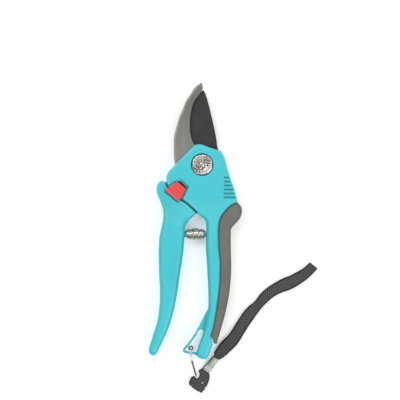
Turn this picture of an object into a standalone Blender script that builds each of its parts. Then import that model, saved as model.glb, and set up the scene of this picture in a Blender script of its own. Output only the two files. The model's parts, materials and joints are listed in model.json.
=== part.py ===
"""Bypass pruning shears with a sliding lock and a wrist lanyard.

Outlines are in millimetres from the pivot's axis, seen from above: +X towards the gripped handle,
+Y towards the blade tips, +Z up out of the front. Heights are in millimetres above the table.
Objects are built in metres, and everything hangs on one empty at the middle of the shears' base.
"""

import math

import bmesh
import bpy
from mathutils import Vector

MM = 0.001

# The pivot's place over the middle of the shears' base
PIVOT_X = 5.163
PIVOT_Y = 41.35

# Heights of the layers
TOP = 17.0  # top of both handles, whose undersides are at 0
HEAD_TOP = 15.2  # front of the right handle's head
HEAD_BACK = 1.4  # back of the left handle's head
FRONT_HALF = 8.65  # lowest of the right handle's head
BACK_HALF = 8.35  # highest of the left handle's head
HOOK_Z = (8.65, 11.6)
BLADE_Z = (5.7, 8.35)
GAP = 0.3

# Both handles thin towards their ends
TAPER = 0.28
TAPER_START = -95.0
TAPER_END = -142.0
TAPER_STEPS = 5

# The two handles slide past each other on arcs about the pivot
HEAD_R = 28.5  # the head's round edge, at the back
SEAM_R = 28.9  # the gripped handle's edge beside it
FRONT_HEAD_R = 30.05
FRONT_SEAM_R = 30.45

# Pivot
BOLT_HEAD_R = 7.7
BOLT_HEAD_Z = (13.4, 15.9)
BOLT_RECESS_R = 8.35
SHANK_R = 3.0
SHANK_END = 0.4
SLEEVE_R = 4.2
SLEEVE_Z = (5.75, 11.5)
NUT_FLATS = 10.0
NUT_Z = (0.3, 2.2)
NUT_RECESS_R = 6.7
NUT_RECESS_TOP = 3.9
SLOT_ANGLE = 40.0

# Pivot's head: a channel with toothed sides, and a hub in its middle
CHANNEL_HALF = 2.9
CHANNEL_FLOOR = 15.0
TOOTH_PITCH = 2.4
TOOTH_DEPTH = 0.9
HUB_R = 2.3

# Lock: it slides along a line through the pivot
LOCK_ANGLE = 43.5
PAD_Z = (14.2, 17.6)
LEDGE = 13.8  # what the pad slides over
TONGUE_Z = (9.6, 11.5)
POCKET_FLOOR = 8.2  # of the lock's pockets, which are open to the handles' parting plane
LOCK_BORE_R = 1.2
BUTTON_GROOVE_START = -29.4
BUTTON_GROOVE_PITCH = 2.0
BUTTON_GROOVE_WIDTH = 0.7

# Return spring: a strip wound as two nested volutes along X, which meet at their wide ends
SPRING_X = (-12.3, 2.4)
SPRING_Y = -51.5
SPRING_Z = 8.5
SPRING_R = 4.65
STRIP_WIDTH = 3.9
STRIP_THICK = 0.5
VOLUTE_TURNS = 2.2  # in each of the two
VOLUTE_STEP = 0.75  # from each turn in to the next
MEETING_TURNS = 0.9  # of each volute, side by side with the other's
MEETING_PITCH = 4.05
BOSS_R = 2.1

# Soft grip, round a tongue of the core
TONGUE_CORE_Z = (4.0, 13.0)

# Grooves for the thumb in the head's edge
GROOVES = 6
GROOVE_PITCH = 2.94
GROOVE_DEPTH = 1.0
GROOVE_HALF = 0.45
GROOVE_START = (16.3, -9.6)
GROOVE_END = 19.6  # of the first one, in X
GROOVE_GROWTH = 0.33  # of that end, for each mm down the head's edge

# Lanyard
LOOP_Z = (5.5, 10.5)
STRAP_THICK = 2.6
STRAP_BOTTOM = 0.3
STRAP_END_TOP = 3.9
EYELET_AT = (0.2, -161.9)
EYELET_HOLE_R = 0.65
EYELET_R = (0.35, 0.8)  # of its shank and its flange
CRIMP_START = (9.6, -144.4)
CRIMP_END = (3.4, -152.3)
CRIMP_HALF = (2.2, 2.9)  # half widths at its start and its end
CRIMP_Z = (0.2, 4.4)
RING_CENTRE = (-8.4, -135.9, 11.0)
RING_R = 1.45
RING_WIRE = 0.3
LINK_WIRE = 0.45
CORD_R = 0.6

ROUND = 40  # sides of round holes and shafts

# The wrist strap's two edges, from the crimp to its fold
STRAP_LEFT = [
    (8.8, -142.8), (9.0, -139.3), (10.4, -136.9), (13.5, -132.4), (19.2, -126.7), (24.4, -119.1),
    (30.4, -109.7), (34.8, -104.9), (38.6, -101.9), (44.0, -95.1), (48.9, -91.0), (54.8, -87.2),
    (60.3, -84.3), (64.6, -82.7), (70.6, -79.6), (75.5, -76.7), (80.1, -72.5),
]
STRAP_RIGHT = [
    (12.6, -145.0), (15.6, -143.2), (18.2, -141.2), (20.0, -139.4), (25.9, -133.6), (32.0, -123.9),
    (37.6, -115.4), (41.5, -110.0), (44.6, -106.0), (49.6, -101.0), (53.6, -97.8), (58.8, -95.1),
    (63.9, -93.4), (68.6, -91.2), (75.0, -87.2), (80.5, -82.7), (85.7, -77.1),
]


def clear_scene():
    for obj in list(bpy.data.objects):
        bpy.data.objects.remove(obj, do_unlink=True)


def material(name, colour, roughness, metallic=0.0):
    made = bpy.data.materials.new(name)
    made.use_nodes = True
    shader = made.node_tree.nodes["Principled BSDF"]
    shader.inputs["Base Color"].default_value = (*colour, 1.0)
    shader.inputs["Roughness"].default_value = roughness
    shader.inputs["Metallic"].default_value = metallic
    return made


# ---- outlines -------------------------------------------------------------------------------


def smooth_run(points, spacing=2.6):
    """A centripetal Catmull-Rom curve through the points, sampled about every `spacing` mm."""
    if len(points) < 3:
        return [Vector(p) for p in points]
    known = [Vector(p) for p in points]
    ends = [2 * known[0] - known[1], *known, 2 * known[-1] - known[-2]]
    made = []
    for a, b, c, d in zip(ends, ends[1:], ends[2:], ends[3:]):
        ta = 0.0
        tb = ta + math.sqrt((b - a).length)
        tc = tb + math.sqrt((c - b).length)
        td = tc + math.sqrt((d - c).length)
        count = max(1, round((c - b).length / spacing))
        for k in range(count):
            t = tb + (tc - tb) * k / count
            ab = a.lerp(b, (t - ta) / (tb - ta))
            bc = b.lerp(c, (t - tb) / (tc - tb))
            cd = c.lerp(d, (t - tc) / (td - tc))
            abc = ab.lerp(bc, (t - ta) / (tc - ta))
            bcd = bc.lerp(cd, (t - tb) / (td - tb))
            made.append(abc.lerp(bcd, (t - tb) / (tc - tb)))
    made.append(known[-1])
    return made


def arc(radius, start, end, spacing=2.6, centre=(0.0, 0.0)):
    count = max(2, round(abs(math.radians(end - start)) * radius / spacing))
    angles = [math.radians(start + (end - start) * k / count) for k in range(count + 1)]
    return [
        Vector((centre[0] + radius * math.cos(a), centre[1] + radius * math.sin(a)))
        for a in angles
    ]


def outline(*runs, spacing=2.6):
    """A closed outline of smooth runs, with a corner wherever one ends and the next starts."""
    made = []
    for run in runs:
        points = run if isinstance(run[0], Vector) else smooth_run(run, spacing)
        if made and (made[-1] - points[0]).length < 0.05:
            made.pop()
        made.extend(points)
    if (made[-1] - made[0]).length < 0.05:
        made.pop()
    area = sum(a.cross(b) for a, b in zip(made, made[1:] + made[:1]))
    return made if area > 0 else made[::-1]


def inset_ring(points, depth):
    """The outline moved inwards by depth, by less where its points would pass each other."""
    count = len(points)
    depths = [depth] * count
    for _ in range(60):
        ring = []
        for k, here in enumerate(points):
            back = (here - points[k - 1]).normalized()
            ahead = (points[(k + 1) % count] - here).normalized()
            inward = Vector((-back.y - ahead.y, back.x + ahead.x)).normalized()
            reach = max(0.6, inward.dot(Vector((-back.y, back.x))))
            ring.append(here + inward * depths[k] / reach)
        crossed = [
            k
            for k in range(count)
            if (ring[(k + 1) % count] - ring[k]).dot(points[(k + 1) % count] - points[k])
            < 0.15 * (points[(k + 1) % count] - points[k]).length_squared
        ]
        if not crossed:
            break
        for k in crossed:
            depths[k] *= 0.8
            depths[(k + 1) % count] *= 0.8
    return ring


# ---- solids ---------------------------------------------------------------------------------


def finish_object(name, mesh, paint):
    mesh.shade_smooth()
    mesh.set_sharp_from_angle(angle=math.radians(35))
    if paint:
        mesh.materials.append(paint)
    obj = bpy.data.objects.new(name, mesh)
    bpy.context.scene.collection.objects.link(obj)
    obj.parent = pivot_empty
    return obj


def object_from_bmesh(name, bm, paint=None):
    bmesh.ops.recalc_face_normals(bm, faces=bm.faces)
    mesh = bpy.data.meshes.new(name)
    bm.to_mesh(mesh)
    bm.free()
    return finish_object(name, mesh, paint)


def rings_to_bmesh(rings):
    """A closed solid through rings of equal length, capped at both ends."""
    bm = bmesh.new()
    made = [[bm.verts.new(Vector(p) * MM) for p in ring] for ring in rings]
    for low, high in zip(made, made[1:]):
        for k in range(len(low)):
            j = (k + 1) % len(low)
            bm.faces.new((low[k], low[j], high[j], high[k]))
    bm.faces.new(made[0][::-1])
    bm.faces.new(made[-1])
    return bm


def taper(bm):
    """Thins a handle towards its end, evenly about its middle, with an edge across it at each step."""
    for k in range(TAPER_STEPS + 1):
        y = TAPER_START + (TAPER_END - TAPER_START) * k / TAPER_STEPS
        every = bm.verts[:] + bm.edges[:] + bm.faces[:]
        bmesh.ops.bisect_plane(bm, geom=every, dist=1e-7, plane_co=(0, y * MM, 0), plane_no=(0, 1, 0))
    middle = TOP / 2 * MM
    for vert in bm.verts:
        share = min(1.0, max(0.0, (vert.co.y / MM - TAPER_START) / (TAPER_END - TAPER_START)))
        thin = 1 - TAPER * share * share * (3 - 2 * share)
        vert.co.z = middle + (vert.co.z - middle) * thin


def rim_levels(low, high, top_rim, bottom_rim, steps):
    """(height, inset) pairs from the bottom up, round where a rim is."""
    quarter = [math.pi / 2 * k / steps for k in range(steps + 1)]
    bottom = [(low + bottom_rim * (1 - math.sin(a)), bottom_rim * (1 - math.cos(a))) for a in quarter]
    top = [(high - top_rim * (1 - math.sin(a)), top_rim * (1 - math.cos(a))) for a in quarter]
    bottom = bottom[::-1] if bottom_rim else [(low, 0.0)]
    return bottom + (top if top_rim else [(high, 0.0)])


def slab(name, points, low, high, top_rim=0.0, bottom_rim=0.0, paint=None, steps=2, tapered=False):
    """An outline raised from low to high, with its rims rounded."""
    rings = []
    for z, depth in rim_levels(low, high, top_rim, bottom_rim, steps):
        ring = inset_ring(points, depth) if depth else points
        rings.append([(p.x, p.y, z) for p in ring])
    bm = rings_to_bmesh(rings)
    if tapered:
        taper(bm)
    return object_from_bmesh(name, bm, paint)


def turned(name, profile, centre=(0.0, 0.0), paint=None, sides=ROUND):
    """A solid of revolution about an upright axis. The profile is (radius, z) from its bottom up."""
    rings = []
    for radius, z in profile:
        ring = [
            (centre[0] + radius * math.cos(math.tau * k / sides),
             centre[1] + radius * math.sin(math.tau * k / sides), z)
            for k in range(sides)
        ]
        rings.append(ring)
    return object_from_bmesh(name, rings_to_bmesh(rings), paint)


def disc_points(radius, centre=(0.0, 0.0), sides=ROUND, turn=0.0):
    return [
        Vector((centre[0] + radius * math.cos(turn + math.tau * k / sides),
                centre[1] + radius * math.sin(turn + math.tau * k / sides)))
        for k in range(sides)
    ]


def cross_bar(name, radius, x_low, x_high, y, z, paint=None, sides=24):
    """A round bar along X."""
    rings = []
    for x in (x_low, x_high):
        rings.append([
            (x, y + radius * math.cos(math.tau * k / sides), z + radius * math.sin(math.tau * k / sides))
            for k in range(sides)
        ])
    return object_from_bmesh(name, rings_to_bmesh(rings), paint)


def sector_cutter(name, profile, start, end, sides=16):
    """A (radius, z) profile swept about the pivot's axis between two angles."""
    rings = []
    for k in range(sides + 1):
        turn = math.radians(start + (end - start) * k / sides)
        rings.append([(r * math.cos(turn), r * math.sin(turn), z) for r, z in profile])
    return object_from_bmesh(name, rings_to_bmesh(rings))


def tube(name, route, radius, paint, closed=False):
    """A round wire or cord along 3-D points, in millimetres."""
    curve = bpy.data.curves.new(name, "CURVE")
    curve.dimensions = "3D"
    curve.bevel_depth = radius * MM
    curve.bevel_resolution = 2
    curve.use_fill_caps = not closed
    spline = curve.splines.new("POLY")
    spline.points.add(len(route) - 1)
    for point, place in zip(spline.points, route):
        point.co = (*(Vector(place) * MM), 1.0)
    spline.use_cyclic_u = closed
    curve.materials.append(paint)
    obj = bpy.data.objects.new(name, curve)
    bpy.context.scene.collection.objects.link(obj)
    obj.parent = pivot_empty
    return obj


def combine(obj, other, operation):
    modifier = obj.modifiers.new(other.name, "BOOLEAN")
    modifier.operation = operation
    modifier.object = other
    other.hide_render = True
    other.display_type = "WIRE"


def cut(obj, *others):
    for other in others:
        combine(obj, other, "DIFFERENCE")


def add(obj, *others):
    for other in others:
        combine(obj, other, "UNION")


# ---- the shears' own outlines ---------------------------------------------------------------

HEAD_FRONT = outline(
    [(-5.8, 14.6), (-1.3, 15.1), (5.0, 12.9), (11.2, 10.9), (14.0, 10.1)],
    [(14.0, 10.1), (16.0, 6.7), (17.4, 2.3), (18.7, -2.5), (20.2, -7.5), (21.7, -12.2), (24.2, -19.2),
     (25.8, -25.6)],
    [(25.8, -25.6), (19.5, -30.4), (12.0, -41.0)],
    [(12.0, -41.0), (3.4, -42.2)],
    [(3.4, -42.2), (2.1, -40.9), (0.4, -39.4), (-1.4, -38.1), (-3.0, -36.5), (-5.1, -34.1),
     (-10.3, -29.5), (-14.11, -26.53)],
    arc(FRONT_HEAD_R, 242, 206.5),
    [(-26.89, -13.41), (-26.3, -11.9), (-26.5, -8.9), (-25.2, -5.4)],
    [(-25.2, -5.4), (-5.8, 14.6)],
)

RIGHT_BODY = outline(
    arc(SEAM_R, 324, 298),
    [(13.57, -25.5), (9.6, -28.65), (4.6, -33.3), (2.2, -36.0)],
    [(2.2, -36.0), (2.1, -39.6), (3.0, -44.7), (3.0, -53.2), (2.7, -61.7), (3.3, -70.2), (4.1, -85.0),
     (4.6, -98.9), (4.4, -106.5), (3.0, -115.0), (0.8, -124.4), (-1.9, -132.0), (-4.0, -138.5),
     (-4.3, -141.4)],
    [(-4.3, -141.4), (-2.6, -143.0), (3.2, -143.8)],
    [(3.2, -143.8), (5.1, -141.0), (7.9, -133.2)],
    [(7.9, -133.2), (6.2, -127.2)],
    [(6.2, -127.2), (8.1, -120.6), (10.4, -108.3), (12.4, -94.2), (13.3, -80.1), (13.2, -70.3),
     (12.4, -62.4), (12.1, -54.8), (12.1, -47.3), (12.8, -42.3), (14.3, -38.2), (17.0, -34.6),
     (20.9, -30.7), (26.2, -28.2)],
    [(26.2, -28.2), (25.4, -23.5), (24.2, -19.2), (23.38, -16.99)],
)

GRIP = outline(
    [(26.6, -28.6), (21.1, -31.1), (17.3, -34.9), (14.7, -38.3), (13.2, -42.4), (12.5, -47.3),
     (12.5, -54.8), (12.8, -62.4), (13.6, -70.3), (13.7, -80.1), (12.8, -94.2), (10.8, -108.3),
     (8.5, -120.6), (6.7, -127.2)],
    [(6.7, -127.2), (8.7, -132.4)],
    [(8.7, -132.4), (10.7, -132.8)],
    [(10.7, -132.8), (13.1, -124.4), (16.9, -111.1), (19.8, -97.0), (21.2, -84.7), (21.5, -74.3),
     (21.3, -64.5), (21.2, -53.2), (21.6, -47.4), (24.2, -44.2), (27.6, -40.2), (29.3, -35.7),
     (28.9, -31.2), (26.6, -28.6)],
)

GRIP_CORE = outline(
    [(10.5, -46.0), (13.8, -40.0), (17.5, -36.0), (22.0, -32.6), (25.0, -33.0), (25.6, -35.8),
     (24.0, -39.0), (20.8, -42.8), (18.2, -47.5), (18.1, -55.0), (18.3, -66.0), (18.4, -76.0),
     (18.0, -86.0), (16.6, -98.0), (13.8, -111.0), (10.8, -121.0)],
    [(10.8, -121.0), (6.5, -120.0)],
    [(6.5, -120.0), (9.2, -100.0), (10.5, -75.0), (10.5, -46.0)],
)

LOOP = outline(
    [(6.0, -105.0), (3.9, -107.6), (-1.6, -118.2), (-6.0, -125.9), (-9.6, -131.0), (-12.2, -134.0),
     (-14.6, -137.5)],
    [(-14.6, -137.5), (-13.6, -139.2), (-11.6, -139.9)],
    [(-11.6, -139.9), (-6.0, -140.6), (-2.6, -142.4)],
    [(-2.6, -142.4), (1.5, -139.0), (4.0, -128.0), (7.0, -112.0), (6.0, -105.0)],
)

LOOP_HOLE = outline(
    [(-1.1, -121.9), (-2.5, -122.8), (-4.3, -126.3), (-8.7, -132.3), (-10.5, -134.9), (-12.9, -137.2)],
    [(-12.9, -137.2), (-10.6, -138.4), (-3.4, -138.9)],
    [(-3.4, -138.9), (1.6, -124.6)],
    [(1.6, -124.6), (0.9, -122.9), (-1.1, -121.9)],
)

LEFT_BODY = outline(
    arc(FRONT_SEAM_R, 206, 242),
    [(-14.3, -26.89), (-10.57, -29.8), (-5.4, -34.4), (-4.4, -35.5)],
    [(-4.4, -35.5), (-4.7, -36.3), (-7.0, -38.5), (-11.0, -43.0), (-12.6, -46.4), (-12.9, -50.4),
     (-13.4, -57.7), (-14.1, -66.0), (-16.7, -82.9), (-18.9, -98.0), (-21.8, -111.1), (-25.1, -121.6),
     (-29.4, -131.0), (-33.2, -138.9)],
    [(-33.2, -138.9), (-34.6, -140.8), (-36.8, -141.3), (-39.0, -139.8), (-39.7, -136.9)],
    [(-39.7, -136.9), (-36.4, -126.3), (-33.2, -115.9), (-31.6, -103.6), (-31.3, -92.0), (-31.9, -82.0),
     (-32.2, -70.2), (-32.2, -61.7), (-31.6, -53.2), (-30.2, -46.4), (-28.8, -39.5), (-28.9, -34.0),
     (-30.2, -28.8), (-32.7, -23.2), (-33.8, -19.2), (-33.2, -15.2), (-31.8, -12.9), (-30.0, -12.0),
     (-28.4, -12.3), (-27.37, -13.35)],
)

HEAD_REAR = outline(
    [(-5.8, 13.2), (-1.3, 14.4), (5.0, 12.4), (10.8, 10.5), (13.6, 9.6)],
    [(13.6, 9.6), (15.4, 6.4), (16.8, 2.0), (18.1, -2.8), (19.6, -7.8), (21.1, -12.4), (22.88, -17.0)],
    arc(HEAD_R, 323.4, 298),
    [(13.38, -25.16), (9.3, -28.3), (4.1, -32.9), (0.4, -35.8)],
    [(0.4, -35.8), (-4.0, -36.2)],
    [(-4.0, -36.2), (-16.0, -38.0), (-26.0, -30.0), (-29.5, -16.0)],
    [(-29.5, -16.0), (-27.0, -13.6), (-25.9, -11.6), (-26.0, -9.2), (-24.7, -5.8)],
    [(-24.7, -5.8), (-5.8, 13.2)],
)

HOOK = outline(
    [(-0.1, 61.1), (-4.9, 57.6), (-8.7, 51.9), (-11.7, 47.4), (-14.7, 40.2), (-17.3, 34.1), (-19.2, 27.3),
     (-20.7, 21.3), (-21.0, 14.0), (-20.9, 6.7), (-20.2, 0.4), (-18.0, -4.5), (-13.4, -8.9), (-9.5, -12.5),
     (-4.0, -17.5), (0.5, -26.0), (4.2, -38.0), (4.9, -48.0), (5.2, -70.0)],
    [(5.2, -70.0), (10.4, -70.0)],
    [(10.4, -70.0), (9.9, -48.0), (11.0, -38.0), (14.0, -26.0), (15.3, -12.0), (14.6, -2.0), (10.5, 6.0),
     (3.0, 10.8), (-3.6, 12.4), (-5.8, 14.9), (-7.5, 18.3), (-8.7, 23.5), (-9.0, 28.5), (-8.8, 34.1),
     (-7.9, 40.6), (-6.4, 45.8), (-3.3, 50.6), (0.3, 56.0), (-0.1, 61.1)],
)

BLADE = outline(
    [(1.0, 55.6), (2.7, 51.9), (5.3, 42.8), (7.5, 33.7), (9.5, 24.7), (10.6, 18.6), (11.3, 13.4),
     (13.0, 6.0), (13.6, -3.0), (11.0, -9.5), (5.0, -13.0), (-2.0, -15.0), (-9.0, -22.0), (-14.5, -32.0),
     (-17.4, -44.0), (-18.4, -70.0)],
    [(-18.4, -70.0), (-24.0, -70.0)],
    [(-24.0, -70.0), (-23.6, -44.0), (-22.0, -30.0), (-19.0, -17.0), (-15.6, -7.0), (-13.0, 3.0),
     (-10.8, 12.0), (-10.8, 20.0), (-11.2, 28.5), (-11.0, 34.0), (-10.1, 40.5), (-8.4, 45.7),
     (-5.2, 50.3), (1.0, 55.6)],
)

# The lock's outlines, from the pivot along its slide (towards the pivot is positive) and across it
BUTTON_CORNERS = [(-33.2, 5.4), (-21.7, 3.3), (-21.0, -4.8), (-27.0, -7.2), (-31.8, -7.6)]
BUTTON_RECESS = [(-36.0, 8.6), (-29.0, 6.7), (-18.8, 3.7), (-18.2, -5.2), (-26.4, -8.1), (-36.0, -9.0)]
LOCK_WELL = [(-23.5, 4.6), (-23.5, -4.9), (-18.5, -4.9), (-19.1, 3.3)]
LOCK_SLOT = ((-27.2, -20.2), (-2.5, 1.5))  # the button's stem runs in it
LOCK_POCKET = ((-34.0, -17.6), (-3.3, 2.3))  # the tongue runs in it
DETENT_POCKET = ((-26.6, -18.6), (1.9, 4.4))
STEM = ((-26.9, -22.9), (-2.2, 1.2))
RIVET_AT = (-24.9, -0.5)
TONGUE_CORNERS = [(-32.2, 1.9), (-32.2, -2.9), (-20.6, -2.9), (-20.6, 1.9)]


def slide_point(along, across):
    turn = math.radians(LOCK_ANGLE)
    return Vector((
        along * math.cos(turn) - across * math.sin(turn),
        along * math.sin(turn) + across * math.cos(turn),
    ))


def slide_box(name, along, across, low, high, paint=None, rim=0.0):
    corners = [(along[0], across[0]), (along[1], across[0]), (along[1], across[1]), (along[0], across[1])]
    return slab(name, outline([slide_point(*c) for c in corners]), low, high, rim, rim, paint)


def turned_box(name, along, across, low, high):
    """A box lying along the slot of the pivot's head."""
    turn = math.radians(SLOT_ANGLE)
    corners = [(along[0], across[0]), (along[1], across[0]), (along[1], across[1]), (along[0], across[1])]
    cos, sin = math.cos(turn), math.sin(turn)
    points = [Vector((a * cos - c * sin, a * sin + c * cos)) for a, c in corners]
    return slab(name, outline(points), low, high)


def slide_slab(name, corners, low, high, paint=None, top_rim=0.0):
    return slab(name, outline([slide_point(*c) for c in corners]), low, high, top_rim, 0.0, paint)


# ---- sub-parts ------------------------------------------------------------------------------


def make_right_handle(paint):
    """The front half of the head, the core of the gripped handle and the lanyard loop."""
    handle = slab("right_handle", RIGHT_BODY, 0.0, TOP, 1.8, 1.8, paint, tapered=True)
    ramp = [(20.0, HEAD_TOP), (31.0, HEAD_TOP), (40.0, TOP + 0.4), (40.0, TOP + 3), (20.0, TOP + 3)]
    under = [(20.0, -3.0), (40.0, -3.0), (40.0, -0.4), (31.0, HEAD_BACK), (20.0, HEAD_BACK)]
    cut(handle, sector_cutter("right_ramp_front", ramp, 262, 335))
    cut(handle, sector_cutter("right_ramp_back", under, 262, 335))
    loop = slab("right_loop", LOOP, *LOOP_Z, 0.5, 0.5)
    cut(loop, slab("right_loop_hole", LOOP_HOLE, LOOP_Z[0] - 2, LOOP_Z[1] + 2))
    head = slab("right_head", HEAD_FRONT, FRONT_HALF, HEAD_TOP, 1.2)
    boss = cross_bar("right_spring_boss", BOSS_R, SPRING_X[1] - 3.0, SPRING_X[1] + 3.1, SPRING_Y, SPRING_Z)
    core = slab("right_grip_core", GRIP_CORE, *TONGUE_CORE_Z, 0.8, 0.8, tapered=True)
    add(handle, head, loop, core, boss)
    pocket = [p.copy() for p in inset_ring(HOOK, -GAP)]
    cut(handle, slab("right_hook_pocket", pocket, FRONT_HALF - GAP, HOOK_Z[1] + GAP))
    cut(handle, turned("right_bolt_hole", [(SHANK_R + GAP, 5.0), (SHANK_R + GAP, 18.0)]))
    cut(handle, turned("right_bolt_recess", [(BOLT_RECESS_R, BOLT_HEAD_Z[0] - GAP), (BOLT_RECESS_R, 18.0)]))
    cut(handle, slide_slab("right_lock_recess", BUTTON_RECESS, LEDGE, TOP + 2))
    cut(handle, slide_slab("right_lock_well", LOCK_WELL, TONGUE_Z[1] - GAP, LEDGE + 1))
    cut(handle, slide_box("right_lock_slot", *LOCK_SLOT, TONGUE_Z[0], LEDGE + 1))
    roof = TONGUE_Z[1] + GAP
    cut(handle, slide_box("right_lock_pocket", *LOCK_POCKET, POCKET_FLOOR, roof))
    cut(handle, slide_box("right_detent_pocket", *DETENT_POCKET, POCKET_FLOOR - 0.1, roof - 0.2))
    start, first = GROOVE_START
    for k in range(GROOVES):
        y = first - GROOVE_PITCH * k
        edge = GROOVE_END + GROOVE_GROWTH * (first - y)
        low_y, high_y = y - GROOVE_HALF, y + GROOVE_HALF
        groove = outline([(start, low_y), (edge, low_y)], [(edge, high_y), (start, high_y)])
        cut(handle, slab(f"right_groove_{k + 1}", groove, HEAD_TOP - GROOVE_DEPTH, TOP + 2))


def make_left_handle(paint):
    """The plain handle and the back half of the head."""
    handle = slab("left_handle", LEFT_BODY, 0.0, TOP, 1.8, 1.8, paint, tapered=True)
    ramp = [(20.0, LEDGE), (34.4, LEDGE), (44.0, TOP + 0.4), (44.0, TOP + 3), (20.0, TOP + 3)]
    under = [(20.0, -3.0), (40.0, -3.0), (40.0, -0.4), (31.0, HEAD_BACK), (20.0, HEAD_BACK)]
    cut(handle, sector_cutter("left_ramp_front", ramp, 196, 274))
    cut(handle, sector_cutter("left_ramp_back", under, 196, 274))
    head = slab("left_head", HEAD_REAR, HEAD_BACK, BACK_HALF, 0.0, 1.2)
    boss = cross_bar("left_spring_boss", BOSS_R, SPRING_X[0] - 3.7, SPRING_X[0] + 2.9, SPRING_Y, SPRING_Z)
    add(handle, head, boss)
    pocket = [p.copy() for p in inset_ring(BLADE, -GAP)]
    cut(handle, slab("left_blade_pocket", pocket, BLADE_Z[0] - GAP, BACK_HALF + GAP))
    cut(handle, turned("left_bolt_hole", [(SHANK_R + GAP, -1.0), (SHANK_R + GAP, 10.0)]))
    cut(handle, turned("left_nut_recess", [(NUT_RECESS_R, -1.0), (NUT_RECESS_R, NUT_RECESS_TOP)]))
    groove = [(27.0, 9.2), (33.2, 9.2), (33.2, 11.9), (27.0, 11.9)]
    cut(handle, sector_cutter("left_lock_groove", groove, 211, 275))
    return handle


def make_grip(paint):
    """The soft half of the gripped handle, wrapped round the core's tongue."""
    grip = slab("soft_grip", GRIP, 0.0, TOP, 2.6, 2.6, paint, steps=3, tapered=True)
    tongue = [p.copy() for p in inset_ring(GRIP_CORE, -GAP)]
    low, high = TONGUE_CORE_Z
    cut(grip, slab("grip_slot", tongue, low - 1.5 * GAP, high + 1.5 * GAP, tapered=True))


def make_blades(steel, coated):
    hook = slab("hook_blade", HOOK, *HOOK_Z, 0.4, 0.0, steel, steps=1)
    cut(hook, turned("hook_hole", [(SLEEVE_R + GAP, 8.0), (SLEEVE_R + GAP, 13.0)]))
    blade = slab("cutting_blade", BLADE, *BLADE_Z, 0.0, 0.4, coated, steps=1)
    cut(blade, turned("blade_hole", [(SLEEVE_R + GAP, 4.0), (SLEEVE_R + GAP, 10.0)]))


def make_pivot(chrome, steel):
    low, high = BOLT_HEAD_Z
    profile = [
        (SHANK_R, SHANK_END),
        (SHANK_R, low),
        (BOLT_HEAD_R, low),
        (BOLT_HEAD_R, high - 0.7),
        (BOLT_HEAD_R - 0.3, high - 0.3),
        (BOLT_HEAD_R - 1.0, high),
    ]
    bolt = turned("pivot_bolt", profile, paint=chrome)
    across = (-CHANNEL_HALF, CHANNEL_HALF)
    cut(bolt, turned_box("bolt_channel", (-9.0, 9.0), across, CHANNEL_FLOOR, high + 1))
    for side in (-1, 1):
        reach = sorted((side * (CHANNEL_HALF - 1.0), side * (CHANNEL_HALF + TOOTH_DEPTH)))
        for k in range(-2, 3):
            along = (TOOTH_PITCH * k - TOOTH_PITCH / 4, TOOTH_PITCH * k + TOOTH_PITCH / 4)
            cut(bolt, turned_box(f"bolt_notch_{side}_{k}", along, reach, CHANNEL_FLOOR + 0.1, high + 1))
    hub = [(HUB_R, low + 0.5), (HUB_R, high - 0.4), (HUB_R - 0.5, high - 0.1)]
    add(bolt, turned("bolt_hub", hub, sides=24))
    sleeve = turned("pivot_sleeve", [(SLEEVE_R, SLEEVE_Z[0]), (SLEEVE_R, SLEEVE_Z[1])], paint=steel)
    bore = [(SHANK_R + GAP, -1.0), (SHANK_R + GAP, 13.0)]
    cut(sleeve, turned("sleeve_bore", bore))
    washer = turned("pivot_washer", [(5.6, 3.2), (5.6, 3.6)], paint=steel)
    cut(washer, turned("washer_bore", bore))
    spring_washer = turned("pivot_spring_washer", [(5.0, 2.5), (5.0, 2.9)], paint=steel)
    cut(spring_washer, turned("spring_washer_bore", bore))
    split = outline([(2.0, -0.25), (6.5, -0.25)], [(6.5, 0.25), (2.0, 0.25)])
    cut(spring_washer, slab("spring_washer_split", split, 1.0, 4.0))
    corner_r = NUT_FLATS / 2 / math.cos(math.pi / 6)
    nut = slab("pivot_nut", disc_points(corner_r, sides=6), *NUT_Z, 0.0, 0.4, steel, steps=1)
    cut(nut, turned("nut_bore", bore))


def make_lock(red, steel, dark):
    button = slide_slab("lock_button", BUTTON_CORNERS, *PAD_Z, red, top_rim=0.9)
    stem_low = TONGUE_Z[1] + GAP + 0.1
    add(button, slide_box("button_stem", *STEM, stem_low, PAD_Z[0] + 0.6))
    for k in range(4):
        along = BUTTON_GROOVE_START + BUTTON_GROOVE_PITCH * k
        reach = (along, along + BUTTON_GROOVE_WIDTH)
        cut(button, slide_box(f"button_groove_{k + 1}", reach, (-9.0, 9.0), PAD_Z[1] - 0.7, 20.0))
    rivet_at = slide_point(*RIVET_AT)
    bore = [(LOCK_BORE_R, 8.0), (LOCK_BORE_R, 13.6)]
    cut(button, turned("button_bore", bore, rivet_at, sides=16))
    tongue = slide_slab("lock_bolt", TONGUE_CORNERS, *TONGUE_Z, dark)
    cut(tongue, turned("tongue_bore", bore, rivet_at, sides=16))
    profile = [(1.5, 8.7), (1.9, 8.85), (1.9, 9.3), (0.9, 9.3), (0.9, 13.2)]
    turned("lock_rivet", profile, rivet_at, steel, sides=16)
    bend = [(-26.2, 2.6), (-24.8, 2.6), (-23.4, 3.6), (-21.6, 3.6), (-20.2, 2.6), (-19.0, 2.6)]
    back = [(along, across + 0.4) for along, across in bend[::-1]]
    slide_slab("lock_detent", bend + back, 9.3, TONGUE_Z[1] - GAP, dark)


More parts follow.
